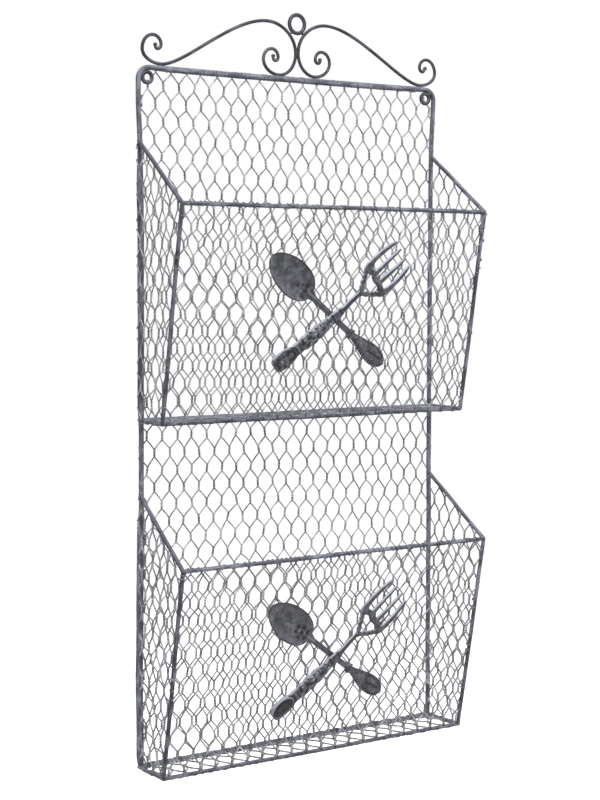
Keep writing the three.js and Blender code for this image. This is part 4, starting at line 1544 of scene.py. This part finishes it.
# %% [markdown]
# Cast fork. Its head is openwork: two arms leave the neck, swell at the shoulders and run out
# into the outer tines, and a scalloped bar between them carries the inner tines. Tubes of oval
# section follow those lines; a voxel remesh then melts tubes and handle into one casting with
# soft inner corners, as molten metal has, and the relief is pressed into it afterwards.

# %% Lines of the fork
FORK_LENGTH = 153.5
FORK_CROSSING = 70.5
HANDLE_LENGTH = 100.5
# The handle's outline as (along, half width) and its thickness as (along, thickness).
FORK_OUTLINE = [
    (0, 4.6), (2.5, 7.0), (9, 7.5), (15, 7.4), (19, 6.4), (23, 5.0), (29, 5.2), (39, 6.3),
    (50, 6.1), (64, 4.3), (66, 4.4), (75.5, 3.6), (79, 2.7), (100, 2.3),
]
FORK_HEIGHT = [(56, 3.8), (101.5, 2.0)]
HEAD_OFFSET = 0.8
HEAD_HALF = 1.6
# Arm and outer tine, inner tine, and half of the bar, as (along, across, half width).
ARM = [
    (98.5, 0.4, 1.7), (101.2, 1.7, 1.9), (103.6, 4.1, 2.5), (105.2, 5.5, 1.9),
    (106.8, 6.9, 2.6), (108.6, 8.0, 2.0), (110.6, 9.6, 2.7), (112.2, 10.9, 2.1),
    (115, 12.8, 3.1), (118.5, 14.2, 3.3), (123, 15.1, 2.8), (129, 15.4, 2.55),
    (137, 15.2, 2.3), (143, 14.6, 2.1), (148, 13.9, 1.8), (FORK_LENGTH - 1.0, 12.9, 1.1),
]
INNER_TINE = [
    (119.5, 4.6, 2.4), (124, 4.7, 2.4), (129, 4.8, 2.2), (136, 5.0, 1.95), (143, 5.0, 1.7),
    (149, 4.95, 1.35), (FORK_LENGTH - 0.3, 4.8, 0.9),
]
BAR = [
    (117.0, 13.2, 3.2), (117.3, 10.6, 3.3), (118.4, 8, 2.9), (119.1, 5, 2.7), (118.4, 2.4, 2.9),
    (118.0, 0, 3.1),
]
BAR_WHOLE = BAR + [(a, -b, c) for a, b, c in BAR[-2::-1]]
ARCH = 3.1
ARCH_GROWS = 1.15
OFFSET_GROWS = (74, 92)
LOBE = 0.35
LOBE_STEP = 8.4
ON_LOBES = (24, 29, 54, 62)


def fork_back_line(u):
    """Height of the fork's back over the netting: it arches over the spoon's stem."""
    from_end = u / FORK_CROSSING
    from_tip = (FORK_LENGTH - u) / (FORK_LENGTH - FORK_CROSSING)
    share = np.where(u < FORK_CROSSING, from_end, from_tip)
    return SEAT + ARCH * np.sin(np.pi / 2 * np.minimum(1, ARCH_GROWS * share))


def head_offset(u):
    """The head of the real fork sits a little to one side of its handle's line."""
    return HEAD_OFFSET * ease(*OFFSET_GROWS, u)


def fork_half_width(u):
    """The outline's profile with small lobes along the leaf."""
    lobes = LOBE * np.cos(u * 2 * np.pi / LOBE_STEP) * between(*ON_LOBES, u)
    return profile(FORK_OUTLINE, u) + lobes


print("fork", FORK_LENGTH, "mm long, handle", HANDLE_LENGTH)

# %% [markdown]
# The blank of the fork. Handle, arms, bar and tines cross and overlap, and the voxel remesh
# makes one skin of them. It works on a mesh in millimetres, so the voxel's size is in
# millimetres too. Both forks are pressed from the same blank.

# %% Blank of the fork
HANDLE_ROWS = 140
HANDLE_ACROSS = 27
STRAND_SIDES = 14
VOXEL = 0.33
FACE_ROUNDED = 1.1
BACK_ROUNDED = 0.3


def fork_handle():
    """The handle as a closed skin with a rounded face and a nearly flat back."""
    u = np.linspace(0, HANDLE_LENGTH, HANDLE_ROWS)
    f = np.sin(np.linspace(-np.pi / 2, np.pi / 2, HANDLE_ACROSS))
    uu, ff = np.meshgrid(u, f, indexing="ij")
    v = fork_half_width(uu) * ff + head_offset(uu)
    rise = fork_back_line(uu)
    face = np.stack([uu, v, rise + profile(FORK_HEIGHT, uu) - FACE_ROUNDED * ff**4], axis=2)
    back_side = np.stack([uu, v, rise + BACK_ROUNDED * ff**2], axis=2)
    return shell(face, back_side)


def strand(points, mirror, count=60):
    """A tube along points (along, across, half width) on the fork's own arch. Its half height
    is HEAD_HALF, or its half width where that is less."""
    p = smooth_path(points, count)
    rise = fork_back_line(p[:, 0]) + HEAD_HALF
    path = np.stack([p[:, 0], mirror * p[:, 1] + head_offset(p[:, 0]), rise], axis=1)
    lift = np.minimum(p[:, 2], HEAD_HALF) / p[:, 2]
    return sweep(path, p[:, 2], UP, STRAND_SIDES, lift=lift[:, None, None])


def fork_mesh():
    """Handle, arms, bar and tines as one remeshed skin, in millimetres."""
    parts = [fork_handle(), strand(BAR_WHOLE, 1, 90)]
    for mirror in (1, -1):
        parts.append(strand(ARM, mirror))
        parts.append(strand(INNER_TINE, mirror))
    points, faces = joined(parts)
    polygons = [face.tolist() for face_set in faces for face in face_set]
    mesh = bpy.data.meshes.new("fork_blank")
    mesh.from_pydata(points.tolist(), [], polygons)
    blank = bpy.data.objects.new("fork_blank", mesh)
    bpy.context.scene.collection.objects.link(blank)
    remesh = blank.modifiers.new("melt", "REMESH")
    remesh.mode = "VOXEL"
    remesh.voxel_size = VOXEL
    soften = blank.modifiers.new("soften", "SMOOTH")
    soften.factor = 0.5
    soften.iterations = 3
    ready = blank.evaluated_get(bpy.context.evaluated_depsgraph_get()).to_mesh()
    count = len(ready.vertices)
    points = np.empty(count * 3, np.float32)
    ready.vertices.foreach_get("co", points)
    normals = np.empty(count * 3, np.float32)
    ready.vertices.foreach_get("normal", normals)
    quads = np.array([face.vertices[:] for face in ready.polygons if len(face.vertices) == 4])
    blank.evaluated_get(bpy.context.evaluated_depsgraph_get()).to_mesh_clear()
    bpy.data.objects.remove(blank)
    return points.reshape(-1, 3).astype(float), normals.reshape(-1, 3), quads


fork_points, fork_normals, fork_quads = fork_mesh()
print("fork blank", len(fork_points), "points")

# %% [markdown]
# The relief of the fork. The handle ends in a carved end, then a waist with cross grooves, a
# leaf with lobes, slots and fine carving, two more bands and a grooved neck. The ends differ:
# the upper fork has an open ring among pits, the lower one a long oval.

# %% Relief of the fork
# Slots as (along, across, half length, half width).
SLOTS = [
    (31.3, 1.1, 1.5, 1.3), (35.6, -2.4, 1.3, 1.0), (39.0, 1.6, 2.0, 1.2), (46.5, -0.8, 1.6, 1.0),
    (53.6, -0.4, 2.4, 1.2), (62.0, 0.4, 1.8, 0.7),
]
# Pits and bumps as (along, across, size, height).
HEAD_PITS = [
    (99.5, 2.8, 1.2, -0.5), (99.5, -2.8, 1.2, -0.5), (107.5, 7.0, 1.0, -0.5),
    (107.5, -7.0, 1.0, -0.5), (116.0, 3.2, 1.0, -0.6), (116.0, -3.2, 1.0, -0.6),
    (113.5, 12.4, 1.1, -0.4), (113.5, -12.4, 1.1, -0.4), (118.0, 9.0, 1.0, -0.5),
    (118.0, -9.0, 1.0, -0.5),
]
END_PITS = [
    (5.5, 4.1, 1.3, -1.0), (10.9, 3.6, 1.0, -0.7), (2.3, 1.4, 1.2, -0.9), (3.2, -2.3, 1.3, -1.0),
    (7.4, 0.6, 1.2, 0.4), (8.0, -4.4, 1.3, -0.7), (12.5, -4.9, 1.0, -0.5), (17.0, 0.4, 1.5, 0.15),
]
# Bands across the handle as (along, curve, width, height).
BANDS = [
    (23.6, 0.1, 0.8, -0.9), (27.6, -0.08, 0.7, -0.5), (25.6, 0, 0.9, 0.15), (66.3, 0, 0.7, -0.8),
    (75.0, 0, 0.7, -0.8),
]
BANDS_START = 20
END_FADES = (20.5, 23)
ON_LEAF = (27, 31, 60, 68)
LEAF_STEP = 5.6
LEAF_HEIGHT = 0.1
LEAF_WAVE = 0.22
BY_THE_EDGE = (0.4, 0.8)
ON_NECK = (76, 79, 93, 98)
NECK_GROOVE = 0.5
FACING = (0.3, 0.85)
SLOT_DEPTH = 1.05
RING_AT = (17.2, -0.1)
RING_R = 3.7
RING_DEPTH = 1.5
RING_WIDTH = 1.05
RING_GAP = (0.7, 0.95)
OVAL_AT = (11, 0.2)
OVAL_HALF = (8.4, 4.7)
OVAL_DEPTH = 1.35
OVAL_WIDTH = 0.17
LIP = 0.45


def end_relief(u, v, prefix):
    """The upper fork's end has an open ring and pits, the lower one's a long oval with a
    raised lip on one side."""
    if prefix == "upper":
        away = np.hypot(u - RING_AT[0], v - RING_AT[1])
        opening = ease(*RING_GAP, -(u - RING_AT[0]) / np.maximum(away, 0.1))
        ring = RING_DEPTH * hill(away, RING_R, RING_WIDTH) * (1 - opening)
        return bumps(u, v, END_PITS) - ring
    away = np.hypot((u - OVAL_AT[0]) / OVAL_HALF[0], (v - OVAL_AT[1]) / OVAL_HALF[1])
    crescent = hill(away, 1, OVAL_WIDTH) * (0.65 + 0.35 * np.clip(v / 4, -1, 1))
    inner = (1.4 * bumps(u, v, END_CARVING) - 0.35) * (away < 0.85)
    lip = hill(away, 1.4, 0.2) * ease(-2, 4, v)
    return inner + LIP * lip - OVAL_DEPTH * crescent


def fork_relief(points, normals, prefix):
    """Height of the cast relief in millimetres, only on the side that faces out: the end's
    own relief, cross grooves at the waist, a lobed leaf with slots and a groove on the neck."""
    u = points[:, 0]
    v = points[:, 1] - head_offset(u)
    f = np.clip(v / np.maximum(fork_half_width(u), 1), -1, 1)
    relief = end_relief(u, v, prefix) * (1 - ease(*END_FADES, u))
    for at, curve, width, height in BANDS:
        relief += height * hill(u + curve * v * v, at, width) * (u > BANDS_START)
    on_leaf = between(*ON_LEAF, u)
    scallop = np.cos(2 * np.pi * (u + 1.1 * np.abs(v) + 1.5 * np.sin(0.31 * u)) / LEAF_STEP)
    relief += on_leaf * (LEAF_HEIGHT + LEAF_WAVE * scallop * ease(*BY_THE_EDGE, np.abs(f)))
    relief += on_leaf * bumps(u, v, CARVING) + 0.8 * bumps(u, v, END_CARVING) * (u < 13)
    for at, across, length, width in SLOTS:
        relief -= SLOT_DEPTH * hill(u, at, length, 4) * hill(v, across, width)
    relief -= NECK_GROOVE * between(*ON_NECK, u) * hill(v, 0, 0.7)
    relief += bumps(u, v, HEAD_PITS)
    return ease(*FACING, normals[:, 2]) * relief


# %% [markdown]
# The two forks are the same blank with their own relief pressed in. Their handles differ a
# little in length. The tone follows the relief, and the edges that face one side of the fork
# get painted light while those facing the other get painted shade.

# %% Fork
HANDLE_STRETCH = {"upper": 0.985, "lower": 1.01}
PRESSED = 0.55
FORK_TONE = 0.4
FORK_TONE_PER_MM = 0.95
# Painted light on the edges facing one side of the fork, painted shade on those facing the other.
PAINTED_LIGHT_EDGE = 0.6
PAINTED_SHADE_EDGE = 0.38

for prefix in ("upper", "lower"):
    relief = fork_relief(fork_points, fork_normals, prefix)
    pressed = fork_points + PRESSED * relief[:, None] * [0, 0, 1]
    before_crossing = np.minimum(pressed[:, 0] - FORK_CROSSING, 0)
    pressed[:, 0] += before_crossing * (HANDLE_STRETCH[prefix] - 1)
    placed = lay_on_front(pressed, prefix, "fork", FORK_CROSSING)
    # Painted light and painted shade on the fork's edges, by which way their normals face.
    edges = PAINTED_LIGHT_EDGE * ease(*FACING, fork_normals[:, 1])
    edges -= PAINTED_SHADE_EDGE * ease(*FACING, -fork_normals[:, 1])
    tone = np.clip(FORK_TONE + FORK_TONE_PER_MM * relief + edges, 0, 1)
    piece(
        prefix + "_fork_cast", (placed, [fork_quads]), cast_finish, [prefix + "_fork"],
        tone,
    )
print("forks", len(fork_points), "points each")

# %% [markdown]
# Weld beads. The rods are joined by small welds under the lacquer, which round off every
# corner. Each is a slightly lumpy ball, sunk into the rods that it joins, and a handful of
# random numbers makes them differ. The scrolls end in small balls too.

# %% Weld beads
WELD_ROWS = 9
WELD_AROUND = 12
POLE = 0.02
# Welds lie a little inwards of a pocket's side, at these shares of its way from the middle.
AT_CORNER = 0.997
AT_LEG = 0.994
AT_FOOT = 0.985
CORNER_WELD = 1.1 * ROD_R
LEG_WELD = 0.95 * ROD_R


def weld(centre, radius, rng):
    """A lumpy ball: radius times one plus two small waves of its latitude and longitude. Its
    poles are closed by one small flat face each."""
    lat = np.linspace(POLE, np.pi - POLE, WELD_ROWS)
    lon = np.linspace(0, 2 * np.pi, WELD_AROUND, endpoint=False)
    a, b = np.meshgrid(lat, lon, indexing="ij")
    shift = rng.uniform(0, ANY_ANGLE, 2)
    lumps = 1 + 0.09 * np.sin(3 * b + shift[0]) * np.sin(a) + 0.07 * np.cos(4 * a + shift[1])
    ball = np.stack([np.sin(a) * np.cos(b), np.sin(a) * np.sin(b), np.cos(a)], axis=2)
    points = (np.asarray(centre) + radius * lumps[..., None] * ball).reshape(-1, 3)
    here = np.arange(WELD_ROWS - 1)[:, None] * WELD_AROUND
    below = here + WELD_AROUND
    k = np.arange(WELD_AROUND)[None, :]
    k1 = (k + 1) % WELD_AROUND
    quads = np.stack([here + k, below + k, below + k1, here + k1], axis=-1).reshape(-1, 4)
    last = (WELD_ROWS - 1) * WELD_AROUND
    return points, [quads, k, last + k[:, ::-1]]


def welds(name, spots, material, rng):
    """One piece of welds at (centre, radius) spots, whose grain is their place in the rack."""
    shape = joined([weld(bowed(np.asarray(c, float)), r, rng) for c, r in spots])
    tone = np.full(len(shape[0]), PLAIN_SHADE)
    piece(name, shape, material, tone=tone, grain=shape[0])


rng = np.random.default_rng(7)
spots = []
for prefix in ("upper", "lower"):
    foot, top = front_rails(prefix)
    for sign in (-1, 1):
        x = sign * SIDE_X
        low_lean, top_lean = leans(prefix, sign)
        on_leg = (AT_LEG * x, HOOP_Y - 0.9 * HOOP_R, foot[2] + SIDE_HEIGHT - 2 * MM)
        at_foot = (AT_FOOT * x, HOOP_Y - 0.3 * HOOP_R, foot[2] + 0.2 * HOOP_R)
        spots += [
            ((AT_CORNER * x + top_lean, top[1], top[2]), CORNER_WELD),
            ((AT_CORNER * x + low_lean, foot[1], foot[2]), CORNER_WELD),
            (on_leg, LEG_WELD),
            (at_foot, HOOP_R),
        ]
welds("frame_welds", spots, rod_finish, rng)
print("welds of the frame", len(spots))

# %% [markdown]
# The scrolls are welded to the rail where their curls touch it, to each other between their
# inner curls, and to the middle ring. The two hanging rings are welded into the corners.

# %% Welds of the scrolls and rings
# The welds of the two hanging rings, and the one between the scrolls' inner curls.
dark_spots = [
    ((-LEG_X + 3.0 * MM, HOOP_Y, RAIL_Z - 3.0 * MM), 2.0 * MM),
    ((LEG_X - 4.2 * MM, HOOP_Y - 0.6 * MM, RAIL_Z - 4.0 * MM), 2.7 * MM),
    ((SCROLL_MIDDLE, HOOP_Y, RAIL_Z + 22.5 * MM), 1.2 * MM),
]
ON_THE_RAIL = RAIL_Z + 0.5 * FOOT_UP * MM
BY_THE_RING = RAIL_Z + 38.6 * MM
# Each scroll's welds as (millimetres across, height, radius in millimetres).
JOINTS = ((132.2, ON_THE_RAIL, 1.5), (18.4, ON_THE_RAIL, 1.5), (5.6, BY_THE_RING, 1.1))
END_BALL = 1.25 * SCROLL_R
for sign in (-1, 1):
    for out, z, size in JOINTS:
        dark_spots.append(((SCROLL_MIDDLE + sign * out * MM, HOOP_Y, z), size * MM))
    for end in (scroll_flat[0], scroll_flat[-1]):
        centre = (SCROLL_MIDDLE + sign * end[0], HOOP_Y, RAIL_Z + end[1])
        dark_spots.append((centre, END_BALL))
welds("scroll_welds", dark_spots, scroll_finish, rng)
print("welds of the scrolls and rings", len(dark_spots))

# %% [markdown]
# Stage. The photo has a plain white ground, and the rack throws no shadow in it, because it
# hangs. The floor lies a little below the rack. Seen directly or in a reflection, floor and
# world show white; all other rays meet them at a plain level, so they light the rack softly.

# %% Floor and world
FLOOR_DROP = 0.3
SOFT_LEVEL = 0.30
FLOOR_GLOW = 0.77
FLOOR_SIZE = 14
FLOOR_WHITE = 0.86
WHITE = (1, 1, 1, 1)


def seen_directly(tree):
    """A value that is 1 for rays that show the stage itself: from the camera, from a mirror
    or through glass."""
    rays = tree.nodes.new("ShaderNodeLightPath")
    value = rays.outputs["Is Camera Ray"]
    for name in ("Is Glossy Ray", "Is Transmission Ray"):
        either = tree.nodes.new("ShaderNodeMath")
        either.operation = "MAXIMUM"
        tree.links.new(value, either.inputs[0])
        tree.links.new(rays.outputs[name], either.inputs[1])
        value = either.outputs[0]
    return value


bpy.ops.mesh.primitive_plane_add(size=FLOOR_SIZE, location=(0, 0, -FLOOR_DROP))
floor = bpy.context.object
floor.name = "floor"
ground = Nodes("floor_white")
ground.set(
    Base_Color=(FLOOR_WHITE, FLOOR_WHITE, FLOOR_WHITE, 1), Roughness=0.9,
    Specular_IOR_Level=0.0, Emission_Color=WHITE,
)
glow = ground.add("ShaderNodeMath", operation="MULTIPLY")
glow.inputs[1].default_value = FLOOR_GLOW
ground.link(seen_directly(ground.tree), glow.inputs[0])
ground.link(glow.outputs[0], ground.shader.inputs["Emission Strength"])
floor.data.materials.append(ground.material)

world = bpy.data.worlds.new("studio")
bpy.context.scene.world = world
world.use_nodes = True
tree = world.node_tree
lit = tree.nodes["Background"]
seen = tree.nodes.new("ShaderNodeBackground")
for background, strength in ((lit, SOFT_LEVEL), (seen, 1.0)):
    background.inputs["Color"].default_value = WHITE
    background.inputs["Strength"].default_value = strength
choose = tree.nodes.new("ShaderNodeMixShader")
tree.links.new(seen_directly(tree), choose.inputs[0])
tree.links.new(lit.outputs[0], choose.inputs[1])
tree.links.new(seen.outputs[0], choose.inputs[2])
tree.links.new(choose.outputs[0], tree.nodes["World Output"].inputs["Surface"])
print("floor", FLOOR_DROP, "m below the rack")

# %% [markdown]
# Lamps. A strong lamp high up in front, to the left, lights the upper sides of the rods, which
# also carry painted light. A weak one fills in from the right, and one behind the rack draws
# its edges.

# %% Lamps
RACK_MIDDLE = (0, -0.03, 0.3)


def lamp(name, place, size, watts):
    """A square area lamp that looks at the middle of the rack."""
    data = bpy.data.lights.new(name, "AREA")
    data.size = size
    data.energy = watts
    backward = unit(np.array(place) - RACK_MIDDLE)
    rightward = unit(np.cross(UP, backward))
    upward = np.cross(backward, rightward)
    stand(bpy.data.objects.new(name, data), rightward, upward, backward, place)


lamp("key", (-0.45, -1.3, 2.0), size=0.7, watts=46)
lamp("fill", (1.6, -1.1, 0.7), size=1.4, watts=6)
lamp("rim", (0.3, 1.6, 1.2), size=1.2, watts=10)
bpy.context.scene.view_settings.view_transform = "Standard"
